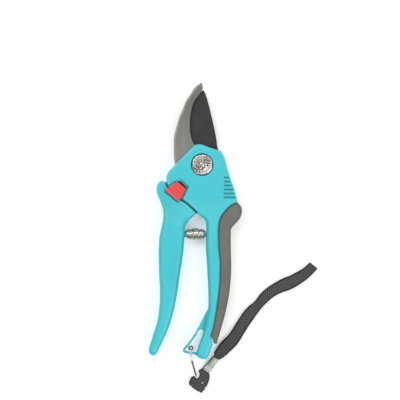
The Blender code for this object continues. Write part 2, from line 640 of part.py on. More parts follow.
def make_spring(paint):
    middle = (SPRING_X[0] + SPRING_X[1]) / 2
    nested_turns = VOLUTE_TURNS - MEETING_TURNS
    nested = (SPRING_X[1] - SPRING_X[0] - STRIP_WIDTH) / 2 - MEETING_TURNS * MEETING_PITCH
    count = round(VOLUTE_TURNS * 2 * 22)
    rings = []
    for k in range(count + 1):
        turns = VOLUTE_TURNS * (2 * k / count - 1)
        meeting = max(-MEETING_TURNS, min(MEETING_TURNS, turns))
        x = middle + meeting * MEETING_PITCH + (turns - meeting) * nested / nested_turns
        outer = SPRING_R - VOLUTE_STEP * abs(turns)
        low, high = x - STRIP_WIDTH / 2, x + STRIP_WIDTH / 2
        section = [(low, outer - STRIP_THICK), (high, outer - STRIP_THICK), (high, outer), (low, outer)]
        cos, sin = math.cos(math.tau * turns), math.sin(math.tau * turns)
        rings.append([(x, SPRING_Y + r * cos, SPRING_Z + r * sin) for x, r in section])
    object_from_bmesh("return_spring", rings_to_bmesh(rings), paint)


def make_lanyard(paints):
    ring = []
    for k in range(20):
        turn = math.tau * k / 20
        ring.append(Vector(RING_CENTRE) + Vector((math.cos(turn), math.sin(turn), 0.0)) * RING_R)
    tube("lanyard_ring", ring, RING_WIRE, paints["dark"], closed=True)

    top = Vector((-8.9, -135.3))
    down = (Vector((-7.7, -144.9)) - top).normalized()
    side_view = [(0.3, 7.6), (0.6, 11.4), (3.2, 12.9), (5.8, 11.8), (7.7, 8.0), (9.0, 4.0), (9.1, 1.6),
                 (7.8, 1.0), (5.0, 1.9), (1.9, 4.1), (0.6, 5.6), (0.3, 7.6)]
    loop = smooth_run(side_view, spacing=0.9)[:-1]
    route = [(*(top + down * s.x), s.y) for s in loop]
    tube("lanyard_link", route, LINK_WIRE, paints["chrome"], closed=True)

    cord = smooth_run([(-7.6, -146.0), (-6.5, -149.6), (-5.6, -153.2), (-4.6, -156.4)], spacing=1.2)
    tube("lanyard_cord", [(*p, 1.0) for p in cord], CORD_R, paints["black"])

    end = outline(
        [(2.4, -153.2), (-0.3, -151.6), (-2.9, -153.1)],
        [(-2.9, -153.1), (-1.9, -155.6), (-2.8, -158.2), (-4.6, -158.9)],
        [(-4.6, -158.9), (-5.8, -156.9), (-7.5, -157.5), (-9.2, -159.8), (-9.8, -162.5), (-8.4, -164.8)],
        [(-8.4, -164.8), (-3.1, -168.3), (-0.7, -169.6)],
        [(-0.7, -169.6), (1.6, -167.0), (4.3, -162.5), (5.6, -157.0), (4.9, -154.6)],
        [(4.9, -154.6), (2.4, -153.2)],
        spacing=1.6,
    )
    strap_end = slab("strap_end", end, STRAP_BOTTOM, STRAP_END_TOP, 0.7, 0.7, paints["webbing"])
    hole = [(EYELET_HOLE_R, -1.0), (EYELET_HOLE_R, 6.0)]
    cut(strap_end, turned("strap_end_hole", hole, EYELET_AT, sides=16))
    shank, flange = EYELET_R
    profile = [(shank, 0.8), (shank, 4.2), (flange, 4.2), (flange - 0.1, 4.45), (shank, 4.55)]
    turned("strap_eyelet", profile, EYELET_AT, paints["crimp"], sides=16)

    start, stop = Vector(CRIMP_START), Vector(CRIMP_END)
    along = (stop - start).normalized()
    across = Vector((-along.y, along.x))
    crimp = outline(
        [start - across * CRIMP_HALF[0], stop - across * CRIMP_HALF[1]],
        [stop + across * CRIMP_HALF[1], start + across * CRIMP_HALF[0]],
    )
    slab("strap_crimp", crimp, *CRIMP_Z, 1.0, 1.0, paints["crimp"])
    make_strap(paints["webbing"])


def make_strap(paint):
    """The wrist loop, pressed flat: two layers of webbing as one closed ribbon."""
    middle = STRAP_BOTTOM + STRAP_THICK / 2
    section = [(-1, -0.6), (-0.8, -1), (0.8, -1), (1, -0.6), (1, 0.6), (0.8, 1), (-0.8, 1), (-1, 0.6)]
    rings = []
    for left, right in zip(STRAP_LEFT, STRAP_RIGHT):
        here, half = (Vector(left) + Vector(right)) / 2, (Vector(right) - Vector(left)) / 2
        rings.append([(*(here + half * side), middle + STRAP_THICK / 2 * rise) for side, rise in section])
    object_from_bmesh("wrist_strap", rings_to_bmesh(rings), paint)


clear_scene()
pivot_empty = bpy.data.objects.new("pivot", None)
bpy.context.scene.collection.objects.link(pivot_empty)
pivot_empty.location = (PIVOT_X * MM, PIVOT_Y * MM, 0.0)

turquoise = material("turquoise_plastic", (0.09, 0.60, 0.68), 0.35)
rubber = material("grip_rubber", (0.18, 0.18, 0.16), 0.75)
red_plastic = material("red_plastic", (0.90, 0.09, 0.11), 0.35)
satin_steel = material("satin_steel", (0.30, 0.29, 0.27), 0.40, 1.0)
coated_steel = material("coated_steel", (0.05, 0.05, 0.05), 0.45, 0.6)
bright_steel = material("bright_steel", (0.75, 0.75, 0.74), 0.18, 1.0)
spring_steel = material("spring_steel", (0.55, 0.55, 0.53), 0.30, 1.0)
dark_steel = material("dark_steel", (0.06, 0.05, 0.07), 0.30, 1.0)
lanyard_paints = {
    "dark": dark_steel,
    "chrome": bright_steel,
    "black": material("black_cord", (0.03, 0.03, 0.03), 0.80),
    "webbing": material("dark_webbing", (0.05, 0.05, 0.05), 0.85),
    "crimp": material("crimp_metal", (0.50, 0.51, 0.44), 0.45, 0.8),
}

make_right_handle(turquoise)
make_left_handle(turquoise)
make_grip(rubber)
make_blades(satin_steel, coated_steel)
make_pivot(bright_steel, spring_steel)
make_lock(red_plastic, spring_steel, dark_steel)
make_spring(spring_steel)
make_lanyard(lanyard_paints)
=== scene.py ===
"""The finished look of the bypass pruning shears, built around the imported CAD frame.

Outlines are in millimetres from the pivot's axis, seen from above, and heights are in millimetres
above the table, as in the CAD source. Meshes are built in metres, in the frame's own axes.
"""

import json
import math

import bmesh
import bpy
import numpy as np
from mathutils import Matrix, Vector
from mathutils.geometry import delaunay_2d_cdt


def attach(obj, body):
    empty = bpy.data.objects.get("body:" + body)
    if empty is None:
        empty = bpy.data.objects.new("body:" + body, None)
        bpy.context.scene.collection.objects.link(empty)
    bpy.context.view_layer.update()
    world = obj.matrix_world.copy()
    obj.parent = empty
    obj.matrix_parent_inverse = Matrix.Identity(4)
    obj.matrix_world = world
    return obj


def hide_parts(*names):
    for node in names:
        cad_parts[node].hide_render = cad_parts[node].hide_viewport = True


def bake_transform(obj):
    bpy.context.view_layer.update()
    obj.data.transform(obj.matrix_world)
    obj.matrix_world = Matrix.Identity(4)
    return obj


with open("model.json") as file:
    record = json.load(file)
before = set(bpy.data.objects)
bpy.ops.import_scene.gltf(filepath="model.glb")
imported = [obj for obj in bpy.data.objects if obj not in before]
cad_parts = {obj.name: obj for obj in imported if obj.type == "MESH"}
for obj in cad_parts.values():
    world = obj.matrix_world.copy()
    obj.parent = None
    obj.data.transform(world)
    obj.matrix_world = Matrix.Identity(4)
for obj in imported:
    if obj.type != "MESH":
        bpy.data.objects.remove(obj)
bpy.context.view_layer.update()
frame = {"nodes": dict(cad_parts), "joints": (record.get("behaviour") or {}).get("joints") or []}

MM = 0.001
PIVOT = np.array([*frame["joints"][0]["pos_m"][:2], 0.0]) / MM

# Heights
TOP = 17.0
HEAD_TOP = 15.2
HEAD_BACK = 1.4
FRONT_HALF = 8.65  # the underside of the head's front half
BACK_HALF = 8.35  # the upper side of its back half
HOOK_Z = (8.65, 11.6)
BLADE_Z = (5.7, 8.35)
PAD_Z = (14.2, 17.6)  # the lock button
LEDGE = 13.8  # the floor under the lock button, and the plain handle beside the head
LOOP_Z = (5.5, 10.5)
STRAP_WIDTH = 8.8
STRAP_THICK = 2.6
STRAP_BOTTOM = 0.3

GAP = 0.3  # round everything that is let into the handles
# The share of its thickness that a handle loses from TAPER_START to TAPER_END
TAPER = 0.28
TAPER_START = -95.0
TAPER_END = -142.0
HEAD_RIM = 1.7
GRIP_RIM = (3.7, 3.6)  # the width and height of the soft round on the handles
# Radii about the pivot: the head's back half and the wall round it, then its front half and the wall round it
HEAD_R = 28.5
SEAM_R = 28.9
FRONT_HEAD_R = 30.05
FRONT_SEAM_R = 30.45
SEAM_GAP = 0.4
SHARP_ANGLE = 38  # degrees between faces from which an edge is drawn sharp
WIRE_SIDES = 14
TOUCHING = 0.05  # runs of an outline that end this close are joined
MERGE = 0.03  # a mesh's points this close are one

BOLT_HEAD_R = 7.7
BOLT_HEAD_Z = (13.4, 15.9)
BOLT_RECESS_R = 8.35
SHANK_R = 3.0
BLADE_BORE_R = 4.5
NUT_POCKET_R = 6.7
SLOT_ANGLE = 40.0
CHANNEL_HALF = 2.9
CHANNEL_DEPTH = 1.35
BUMP_PITCH = 2.4
LOCK_ANGLE = 43.5
GROOVES = 6  # at the head's right edge
GROOVE_TOP = -9.6
GROOVE_PITCH = 2.94
GROOVE_DEPTH = 1.2

SPRING_X = (-12.3, 2.4)
SPRING_Y = -51.5
SPRING_Z = 8.5
SPRING_R = 4.65
STRIP_WIDTH = 3.9
STRIP_THICK = 0.5
VOLUTE_TURNS = 2.2
VOLUTE_STEP = 0.75
MEETING_TURNS = 0.9
MEETING_PITCH = 4.05
BOSS_R = 2.1

# The wrist strap's two edges, from the crimp to its fold
STRAP_LEFT = [
    (8.8, -142.8), (9.0, -139.3), (10.4, -136.9), (13.5, -132.4), (19.2, -126.7), (24.4, -119.1),
    (30.4, -109.7), (34.8, -104.9), (38.6, -101.9), (44.0, -95.1), (48.9, -91.0), (54.8, -87.2),
    (60.3, -84.3), (64.6, -82.7), (70.6, -79.6), (75.5, -76.7), (80.1, -72.5),
]
STRAP_RIGHT = [
    (12.6, -145.0), (15.6, -143.2), (18.2, -141.2), (20.0, -139.4), (25.9, -133.6), (32.0, -123.9),
    (37.6, -115.4), (41.5, -110.0), (44.6, -106.0), (49.6, -101.0), (53.6, -97.8), (58.8, -95.1),
    (63.9, -93.4), (68.6, -91.2), (75.0, -87.2), (80.5, -82.7), (85.7, -77.1),
]

# ---- outlines: numpy arrays of points in the plane ----


def between(t, p, q, at_p, at_q):
    """The value at t on the line that is p at at_p and q at at_q."""
    return p + (q - p) * (t - at_p) / (at_q - at_p)


def smooth_run(points, spacing=0.7):
    """A centripetal Catmull-Rom curve through the points, sampled about every `spacing` mm."""
    known = np.array(points, float)
    if len(known) < 3:
        count = max(1, round(np.linalg.norm(known[1] - known[0]) / spacing))
        return known[0] + (known[1] - known[0]) * np.linspace(0, 1, count + 1)[:, None]
    ends = np.vstack([2 * known[0] - known[1], known, 2 * known[-1] - known[-2]])
    made = []
    for a, b, c, d in zip(ends, ends[1:], ends[2:], ends[3:]):
        tb, tc, td = np.cumsum([math.sqrt(np.linalg.norm(step)) for step in (b - a, c - b, d - c)])
        count = max(1, round(np.linalg.norm(c - b) / spacing))
        for k in range(count):
            t = tb + (tc - tb) * k / count
            bc = between(t, b, c, tb, tc)
            abc = between(t, between(t, a, b, 0, tb), bc, 0, tc)
            bcd = between(t, bc, between(t, c, d, tc, td), tb, td)
            made.append(between(t, abc, bcd, tb, tc))
    made.append(known[-1])
    return np.array(made)


def arc(radius, start, end, spacing=0.7, centre=(0.0, 0.0)):
    count = max(2, round(abs(math.radians(end - start)) * radius / spacing))
    turn = np.radians(np.linspace(start, end, count + 1))
    return np.array(centre) + radius * np.column_stack([np.cos(turn), np.sin(turn)])


def anticlockwise(ring):
    ahead = np.roll(ring, -1, 0)
    area = (ring[:, 0] * ahead[:, 1] - ring[:, 1] * ahead[:, 0]).sum()
    return ring if area > 0 else ring[::-1]


def outline(*runs, spacing=0.7):
    """A closed outline, anticlockwise, of smooth runs that meet at corners."""
    made = []
    for run in runs:
        points = run if isinstance(run, np.ndarray) else smooth_run(run, spacing)
        if made and np.linalg.norm(made[-1] - points[0]) < TOUCHING:
            made.pop()
        made.extend(points)
    if np.linalg.norm(made[-1] - made[0]) < TOUCHING:
        made.pop()
    return anticlockwise(np.array(made))


def circle(radius, centre=(0.0, 0.0), spacing=0.5):
    return arc(radius, 0, 360, spacing, centre)[:-1]


def rounded(corners, radius, spacing=0.35):
    """A closed polygon with every corner rounded."""
    corners = np.array(corners, float)
    bends = []
    for before, here, after in zip(np.roll(corners, 1, 0), corners, np.roll(corners, -1, 0)):
        back = (before - here) / np.linalg.norm(before - here)
        ahead = (after - here) / np.linalg.norm(after - here)
        half = math.acos(np.clip(back.dot(ahead), -1, 1)) / 2
        reach = radius / math.tan(half)
        start, stop = here + back * reach, here + ahead * reach
        steps = max(3, round(radius * (math.pi - 2 * half) / spacing))
        share = np.linspace(0, 1, steps + 1)[:, None]
        bends.append((1 - share) ** 2 * start + 2 * share * (1 - share) * here + share**2 * stop)
    made = []
    for bend, following in zip(bends, bends[1:] + bends[:1]):
        gap = following[0] - bend[-1]
        steps = max(1, round(np.linalg.norm(gap) / 0.7))
        made += [bend, bend[-1] + gap * np.linspace(0, 1, steps + 1)[1:-1, None]]
    return anticlockwise(np.vstack(made))


def grown(ring, by):
    """The ring with each point moved outwards."""
    ahead = np.roll(ring, -1, 0) - np.roll(ring, 1, 0)
    ahead /= np.linalg.norm(ahead, axis=1)[:, None]
    return ring + np.column_stack([ahead[:, 1], -ahead[:, 0]]) * by


def heading(degrees):
    """The unit vectors along and across a direction in the plane."""
    turn = math.radians(degrees)
    return np.array([math.cos(turn), math.sin(turn)]), np.array([-math.sin(turn), math.cos(turn)])


def slide_points(corners):
    """Points given along and across the lock's slide, put in the plane."""
    along, across = heading(LOCK_ANGLE)
    corners = np.array(corners, float)
    return corners[:, :1] * along + corners[:, 1:] * across


def slide_box(left, low, right, high):
    return slide_points([(left, low), (right, low), (right, high), (left, high)])


def from_segments(points, first, along):
    """Each point's distance to the nearest of the segments."""
    to = points[:, None] - first
    share = np.clip((to * along).sum(2) / np.maximum((along * along).sum(1), 1e-12), 0, 1)
    return np.linalg.norm(to - share[..., None] * along, axis=2).min(1)


def distance_to_run(points, run):
    line = smooth_run(run, 0.5)
    return from_segments(points, line[:-1], np.diff(line, axis=0))


def depth_in(points, ring):
    """Each point's distance to the closed ring, positive inside it."""
    first, second = ring, np.roll(ring, -1, 0)
    along = second - first
    rise = np.where(np.abs(along[:, 1]) < 1e-12, 1e-12, along[:, 1])
    found = []
    for part in np.array_split(points, max(1, len(points) // 1500)):
        away = from_segments(part, first, along)
        x, y = part[:, :1], part[:, 1:]
        spans = (first[:, 1] > y) != (second[:, 1] > y)
        crosses = spans & (x < first[:, 0] + (y - first[:, 1]) / rise * along[:, 0])
        found.append(np.where(crosses.sum(1) % 2 == 1, away, -away))
    return np.concatenate(found)


def offset_points(ring, offsets, spacing=0.56):
    """Points at each distance inside the ring, without those that corners crowd.

    A negative distance is outside the ring.
    """
    steps = np.linalg.norm(np.roll(ring, -1, 0) - ring, axis=1)
    keep = [0]
    travelled = 0.0
    for k in range(1, len(ring)):
        travelled += steps[k - 1]
        if travelled >= spacing:
            keep.append(k)
            travelled = 0.0
    ahead = np.roll(ring, -1, 0) - ring
    ahead /= np.linalg.norm(ahead, axis=1)[:, None]
    tangent = ahead + np.roll(ahead, 1, 0)
    tangent /= np.maximum(np.linalg.norm(tangent, axis=1), 1e-9)[:, None]
    inward = np.column_stack([-tangent[:, 1], tangent[:, 0]])
    made = []
    for offset in offsets:
        points = ring[keep] + inward[keep] * offset
        made.append(points[np.abs(depth_in(points, ring) - offset) < 0.02 + 0.02 * abs(offset)])
    return np.vstack(made)


# ---- heights ----


def ease(x):
    x = np.clip(x, 0, 1)
    return x * x * (3 - 2 * x)


def round_off(depth, wide, high):
    """How far a rim that is rounded over `wide` mm has dropped at this depth from its edge."""
    share = np.clip(1 - depth / wide, 0, 1)
    return high * (1 - np.sqrt(np.maximum(0, 1 - share * share)))


def rounded_face(z, ring, wide, high):
    """A height function: level at z, and rounded off at the ring. A negative `high` is an underside's."""
    return lambda points: z - round_off(depth_in(points, ring), wide, high)


def sunk(z, depth, floor, lip=0.3):
    """z with a flat-bottomed recess where depth is positive, and its lip rounded."""
    return np.where(depth > 0, np.minimum(floor, z), z - round_off(-depth, lip, lip * 0.8))


def thinned(y, z):
    """Handles thin towards their ends, evenly about their middle."""
    share = ease((y - TAPER_START) / (TAPER_END - TAPER_START))
    return TOP / 2 + (z - TOP / 2) * (1 - TAPER * share)


# ---- meshes ----

RIM_OFFSETS = (0.04, 0.14, 0.32, 0.6, 1.0, 1.5, 2.1, 2.9, 3.8, 4.8)
SMALL_RIM_OFFSETS = (0.04, 0.14, 0.32, 0.6, 0.9)
STEP_OFFSETS = (-0.03, 0.03, 0.12, 0.3, 0.6, 1.2, 2.2, 3.6)


def place(points):
    return (np.asarray(points, float) + PIVOT) * MM


def at_height(flat, z):
    return np.column_stack([flat, np.full(len(flat), z)])


def add_object(name, data):
    obj = bpy.data.objects.new(name, data)
    bpy.context.scene.collection.objects.link(obj)
    return obj


def shade_edges(mesh):
    mesh.shade_smooth()
    mesh.set_sharp_from_angle(angle=math.radians(SHARP_ANGLE))


def new_mesh(name, points, faces):
    """A mesh object from points in millimetres from the pivot."""
    mesh = bpy.data.meshes.new(name)
    mesh.from_pydata(place(points).tolist(), [], faces)
    mesh.validate()
    bm = bmesh.new()
    bm.from_mesh(mesh)
    bmesh.ops.recalc_face_normals(bm, faces=bm.faces)
    bm.to_mesh(mesh)
    bm.free()
    shade_edges(mesh)
    return add_object(name, mesh)


def relief(name, ring, top, bottom, features=(), cell=1.25, rims=RIM_OFFSETS, holes=()):
    """A solid over an outline, between two height functions.

    Each feature is (ring, offsets): distances inside the ring at which to add points.
    """
    low, high = ring.min(0), ring.max(0)
    grid = np.array([
        (x, y)
        for k, y in enumerate(np.arange(low[1], high[1], cell * 0.87))
        for x in np.arange(low[0] + (k % 2) * cell / 2, high[0], cell)
    ])
    near = np.vstack([offset_points(r, offsets) for r, offsets in ((ring, rims), *features)])
    near = near[depth_in(near, ring) > MERGE]
    grid = grid[depth_in(grid, ring) > 0.3]
    for hole in holes:
        near = near[depth_in(near, hole) < -MERGE]
        grid = grid[depth_in(grid, hole) < -0.3]
    inner = np.vstack([near, grid])
    _, first = np.unique(np.round(inner / MERGE).astype(int), axis=0, return_index=True)
    loops = [ring, *holes]
    points = np.vstack([*loops, inner[np.sort(first)]])
    edges = []
    start = 0
    for loop in loops:
        edges += [(start + k, start + (k + 1) % len(loop)) for k in range(len(loop))]
        start += len(loop)
    found = delaunay_2d_cdt([Vector(p) for p in points.tolist()], edges, [], 1, 1e-4)
    flat = np.array([tuple(v) for v in found[0]])
    tris = np.array(found[2])
    middle = flat[tris].mean(1)
    inside = depth_in(middle, ring) > 0
    for hole in holes:
        inside &= depth_in(middle, hole) < 0
    used, back = np.unique(tris[inside], return_inverse=True)
    flat, tris = flat[used], back.reshape(-1, 3)
    ab, ac = flat[tris[:, 1]] - flat[tris[:, 0]], flat[tris[:, 2]] - flat[tris[:, 0]]
    wrong = ab[:, 0] * ac[:, 1] - ab[:, 1] * ac[:, 0] < 0
    tris[wrong] = tris[wrong][:, ::-1]

    count = len(flat)
    upper = top(flat)
    lower = np.minimum(bottom(flat), upper - 0.02)
    pairs = np.vstack([tris[:, [0, 1]], tris[:, [1, 2]], tris[:, [2, 0]]]).tolist()
    known = set(map(tuple, pairs))
    walls = [(b, a, a + count, b + count) for a, b in pairs if (b, a) not in known]
    points = np.vstack([np.column_stack([flat, upper]), np.column_stack([flat, lower])])
    return new_mesh(name, points, tris.tolist() + (tris[:, ::-1] + count).tolist() + walls)


def skin(name, rings, looped=False):
    """A surface through rings of equal length, joined end to end or else capped."""
    size, last = len(rings[0]), len(rings) - 1
    faces = []
    for low in range(len(rings) if looped else last):
        high = (low + 1) % len(rings)
        for k in range(size):
            j = (k + 1) % size
            faces.append((low * size + k, low * size + j, high * size + j, high * size + k))
    if not looped:
        faces.append(tuple(range(size))[::-1])
        faces.append(tuple(range(last * size, len(rings) * size)))
    return new_mesh(name, np.vstack(rings), faces)


def turned(name, profile, sides, centre=(0.0, 0.0)):
    """A solid of revolution about an upright axis, from (radius, z) points."""
    turn = np.linspace(0, math.tau, sides, endpoint=False)
    unit = np.column_stack([np.cos(turn), np.sin(turn)])
    return skin(name, [at_height(np.array(centre) + r * unit, z) for r, z in profile])


def wire(name, route, radius, closed=False):
    """A round wire along 3-D points, with rounded ends where it is open."""
    route = np.array(route, float)
    last = len(route) - 1
    turn = np.linspace(0, math.tau, WIRE_SIDES, endpoint=False)[:, None]
    rings = []
    side = None
    for k, here in enumerate(route):
        ahead = route[(k + 1) % len(route)] if closed or k < last else here
        behind = route[k - 1] if closed or k else here
        along = (ahead - behind) / np.linalg.norm(ahead - behind)
        if side is None:
            side = np.cross(along, [0.3, 0.5, 0.81])
        side = side - along * side.dot(along)
        side /= np.linalg.norm(side)
        rings.append(here + radius * (np.cos(turn) * side + np.sin(turn) * np.cross(along, side)))
    if not closed:
        for end, step in ((0, 1), (-1, -1)):
            along = route[end] - route[end + step]
            along /= np.linalg.norm(along)
            caps = [
                route[end] + along * radius * 0.8 * math.sin(a) + (rings[end] - route[end]) * math.cos(a)
                for a in (0.5, 1.0, 1.35)
            ]
            rings = caps[::-1] + rings if end == 0 else rings + caps
    return skin(name, rings, looped=closed)


def cutter(ring, low, high):
    """A plain upright prism to cut or join with."""
    return skin("cutter", [at_height(ring, z) for z in (low, high)])


def spring_boss(low, high):
    """A round bar on the spring's axis, with chamfered ends."""
    turn = np.linspace(0, math.tau, 48, endpoint=False)
    ends = ((low, BOSS_R - 0.4), (low + 0.4, BOSS_R), (high - 0.4, BOSS_R), (high, BOSS_R - 0.4))
    return skin("boss", [
        np.column_stack([np.full(len(turn), x), SPRING_Y + r * np.cos(turn), SPRING_Z + r * np.sin(turn)])
        for x, r in ends
    ])


def combine(obj, other, operation="UNION"):
    """Joins or cuts with a closed mesh, and keeps only the result."""
    modifier = obj.modifiers.new("combine", "BOOLEAN")
    modifier.operation = operation
    modifier.object = other
    modifier.solver = "MANIFOLD"
    bpy.context.view_layer.update()
    result = bpy.data.meshes.new_from_object(obj.evaluated_get(bpy.context.evaluated_depsgraph_get()))
    obj.modifiers.clear()
    obj.data = result
    shade_edges(result)
    bpy.data.objects.remove(other, do_unlink=True)


def cut(obj, ring, low, high):
    combine(obj, cutter(ring, low, high), "DIFFERENCE")


def store(obj, name, values):
    """Stores a 0 to 1 value at every vertex, for a material to read."""
    values = np.clip(values, 0, 1).astype(np.float32)
    obj.data.attributes.new(name, "FLOAT", "POINT").data.foreach_set("value", values)


def mark(obj, **functions):
    """Stores values worked out from each vertex's place in millimetres and its normal."""
    points = np.array([v.co for v in obj.data.vertices]) / MM - PIVOT
    normals = np.array([v.normal for v in obj.data.vertices])
    for name, function in functions.items():
        store(obj, name, function(points, normals))


def dress(obj, paint, body, node):
    obj.data.materials.clear()
    obj.data.materials.append(paint)
    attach(obj, body)
    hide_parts(node)
    return obj


# ---- materials ----


class Tree:
    """A node tree being put together."""

    def __init__(self, tree):
        self.nodes, self.links = tree.nodes, tree.links

    def feed(self, target, value):
        """Links a socket to an input, or sets a constant on it."""
        if isinstance(value, bpy.types.NodeSocket):
            self.links.new(value, target)
        else:
            target.default_value = value

    def node(self, kind, inputs=(), **settings):
        made = self.nodes.new(kind)
        for setting, value in settings.items():
            setattr(made, setting, value)
        for socket, value in dict(inputs).items():
            self.feed(made.inputs[socket], value)
        return made

    def spread(self, value, low, high, from_low=0.3, from_high=0.7):
        return self.node("ShaderNodeMapRange", {
            "Value": value, "From Min": from_low, "From Max": from_high, "To Min": low, "To Max": high,
        }).outputs["Result"]

    def maths(self, operation, first, second=0.0):
        return self.node("ShaderNodeMath", {0: first, 1: second}, operation=operation).outputs["Value"]

    def add(self, first, second):
        return self.maths("ADD", first, second)

    def times(self, first, second):
        return self.maths("MULTIPLY", first, second)


class Paint(Tree):
    """A node material being put together."""

    def __init__(self, name, colour, roughness, metallic=0.0):
        self.material = bpy.data.materials.new(name)
        self.material.use_nodes = True
        super().__init__(self.material.node_tree)
        self.shader = self.nodes["Principled BSDF"]
        self.shader.inputs["Base Color"].default_value = (*colour, 1.0)
        self.shader.inputs["Roughness"].default_value = roughness
        self.shader.inputs["Metallic"].default_value = metallic
        self.place = self.node("ShaderNodeTexCoord").outputs["Object"]
        self.bumped = None

    def noise(self, size, detail=3.0, stretch=(1, 1, 1), rough=0.55):
        """Noise with features about `size` mm across."""
        scaled = self.node("ShaderNodeMapping", {"Vector": self.place, "Scale": stretch})
        return self.node("ShaderNodeTexNoise", {
            "Vector": scaled.outputs["Vector"], "Scale": 1000.0 / size, "Detail": detail, "Roughness": rough,
        }).outputs["Fac"]

    def mix(self, factor, first, second):
        """A colour between two, which are sockets or (red, green, blue)."""
        made = self.node("ShaderNodeMix", data_type="RGBA")
        for name, value in (("Factor", factor), ("A", first), ("B", second)):
            target = [s for s in made.inputs if s.name == name and s.enabled][0]
            self.feed(target, (*value, 1.0) if isinstance(value, tuple) else value)
        return [s for s in made.outputs if s.enabled][0]

    def layers(self, colour, base, darker, lighter, *over, span=(0.3, 0.7)):
        """A colour between two of its shades by a value, under layers of (value, most, from, to, shade)."""
        tint = self.mix(self.spread(base, 0, 1, *span), shade(colour, darker), shade(colour, lighter))
        for value, most, start, stop, by in over:
            tint = self.mix(self.spread(value, 0, most, start, stop), tint, shade(colour, by))
        return tint

    def marked(self, name):
        """A value stored on the mesh by store(), 0 where there is none."""
        return self.node("ShaderNodeAttribute", attribute_name=name).outputs["Fac"]

    def bump(self, height, distance, strength=1.0):
        """Adds a bump of `distance` mm on what is bumped already."""
        inputs = {"Height": height, "Distance": distance * MM, "Strength": strength}
        if self.bumped:
            inputs["Normal"] = self.bumped
        self.bumped = self.node("ShaderNodeBump", inputs).outputs["Normal"]

    def done(self, colour, roughness=None, metallic=None):
        found = {"Base Color": colour, "Roughness": roughness, "Metallic": metallic, "Normal": self.bumped}
        for socket, value in found.items():
            if value is not None:
                self.links.new(value, self.shader.inputs[socket])
        return self.material


def shade(colour, by):
    return tuple(min(1.0, c * by) for c in colour)


def moulded(name, colour, roughness):
    """Moulded plastic: a fine spark-eroded grain and faint flow marks, with painted highlights on sharp edges
    and where the mesh marks light, and painted shade where it marks deep.
    """
    paint = Paint(name, colour, roughness)
    painted_highlight = tuple(0.6 * c + 0.4 for c in colour)
    flow = paint.noise(26.0, 4.0, (1.0, 0.35, 1.0))
    fine = paint.noise(0.28, 2.0)
    tint = paint.layers(colour, flow, 0.93, 1.06)
    # Painted highlight: sharp edges are lightened
    edge = paint.node("ShaderNodeNewGeometry").outputs["Pointiness"]
    tint = paint.mix(paint.spread(edge, 0.0, 0.12, 0.52, 0.60), tint, painted_highlight)
    tint = paint.mix(paint.spread(fine, 0, 0.5, 0.62, 0.75), tint, shade(colour, 0.82))
    # Painted shade, patchy, where the mesh marks deep
    painted_shade = paint.times(paint.marked("deep"), paint.spread(paint.noise(1.1, 3.0), 0.65, 0.9, 0.35, 0.65))
    tint = paint.mix(painted_shade, tint, shade(colour, 0.15))
    # Painted highlight where the mesh marks light
    tint = paint.mix(paint.marked("light"), tint, painted_highlight)
    rough = paint.add(paint.spread(flow, roughness - 0.05, roughness + 0.06), paint.spread(fine, -0.04, 0.05))
    paint.bump(fine, 0.012)
    paint.bump(flow, 0.05, 0.25)
    return paint.done(tint, rough)


def rubbery(name, colour):
    """Soft moulded rubber: a matte, pitted skin with a little bloom."""
    paint = Paint(name, colour, 0.72)
    cloud = paint.noise(14.0, 5.0)
    pit = paint.noise(0.42, 2.0)
    speck = paint.noise(0.16, 1.0)
    tint = paint.layers(colour, cloud, 0.88, 1.12, (pit, 0.45, 0.55, 0.72, 0.66))
    # Painted shade where the mesh marks deep
    tint = paint.mix(paint.marked("deep"), tint, shade(colour, 0.3))
    paint.bump(pit, 0.035)
    paint.bump(speck, 0.010)
    return paint.done(tint, paint.spread(cloud, 0.66, 0.82))


def ground(name, colour, roughness, along=(1.0, 0.06, 1.0), size=0.22, depth=0.006, metallic=1.0):
    """Ground steel: fine parallel scratches, a few longer ones, and uneven sheen."""
    paint = Paint(name, colour, roughness, metallic)
    lines = paint.noise(size, 4.0, along, rough=0.7)
    bands = paint.noise(5.5 * size, 3.0, (along[0], 0.5 * along[1], along[2]))
    cloud = paint.noise(9.0, 4.0)
    uneven = (bands, 0.35, 0.45, 0.7, 1.35), (cloud, 0.35, 0.4, 0.7, 0.8)
    tint = paint.layers(colour, lines, 0.86, 1.12, *uneven)
    # Painted highlight where the mesh marks light
    tint = paint.mix(paint.marked("light"), tint, shade(colour, 3.0))
    # Darker where the mesh marks deep: painted reflection bands on the spring, painted shade towards the
    # hook's tip
    tint = paint.mix(paint.marked("deep"), tint, (0.24 * colour[0], 0.19 * colour[1], 0.15 * colour[2]))
    sheen = paint.spread(cloud, roughness - 0.04, roughness + 0.05)
    paint.bump(lines, depth)
    return paint.done(tint, paint.add(paint.spread(lines, -0.07, 0.08), sheen))


def coated(name, colour, bare):
    """A dark baked coating over ground steel, worn bright along the edge marked by the mesh."""
    paint = Paint(name, colour, 0.42, 0.25)
    grain = paint.noise(0.20, 3.0)
    lines = paint.noise(0.25, 4.0, (0.06, 1.0, 1.0), rough=0.7)
    cloud = paint.noise(11.0, 4.0)
    tint = paint.layers(colour, cloud, 0.8, 1.25, (grain, 0.6, 0.6, 0.75, 1.9))
    ragged = paint.add(paint.marked("bare"), paint.spread(paint.noise(0.9, 4.0), -0.18, 0.18))
    bright = paint.spread(ragged, 0, 1, 0.46, 0.54)
    steel = paint.layers(bare, lines, 0.85, 1.1)
    rough = paint.add(paint.spread(bright, 0.44, 0.27, 0, 1), paint.spread(grain, -0.05, 0.06))
    paint.bump(grain, 0.008)
    paint.bump(lines, 0.004, 0.6)
    return paint.done(paint.mix(bright, tint, steel), rough, paint.spread(bright, 0.25, 1.0, 0, 1))


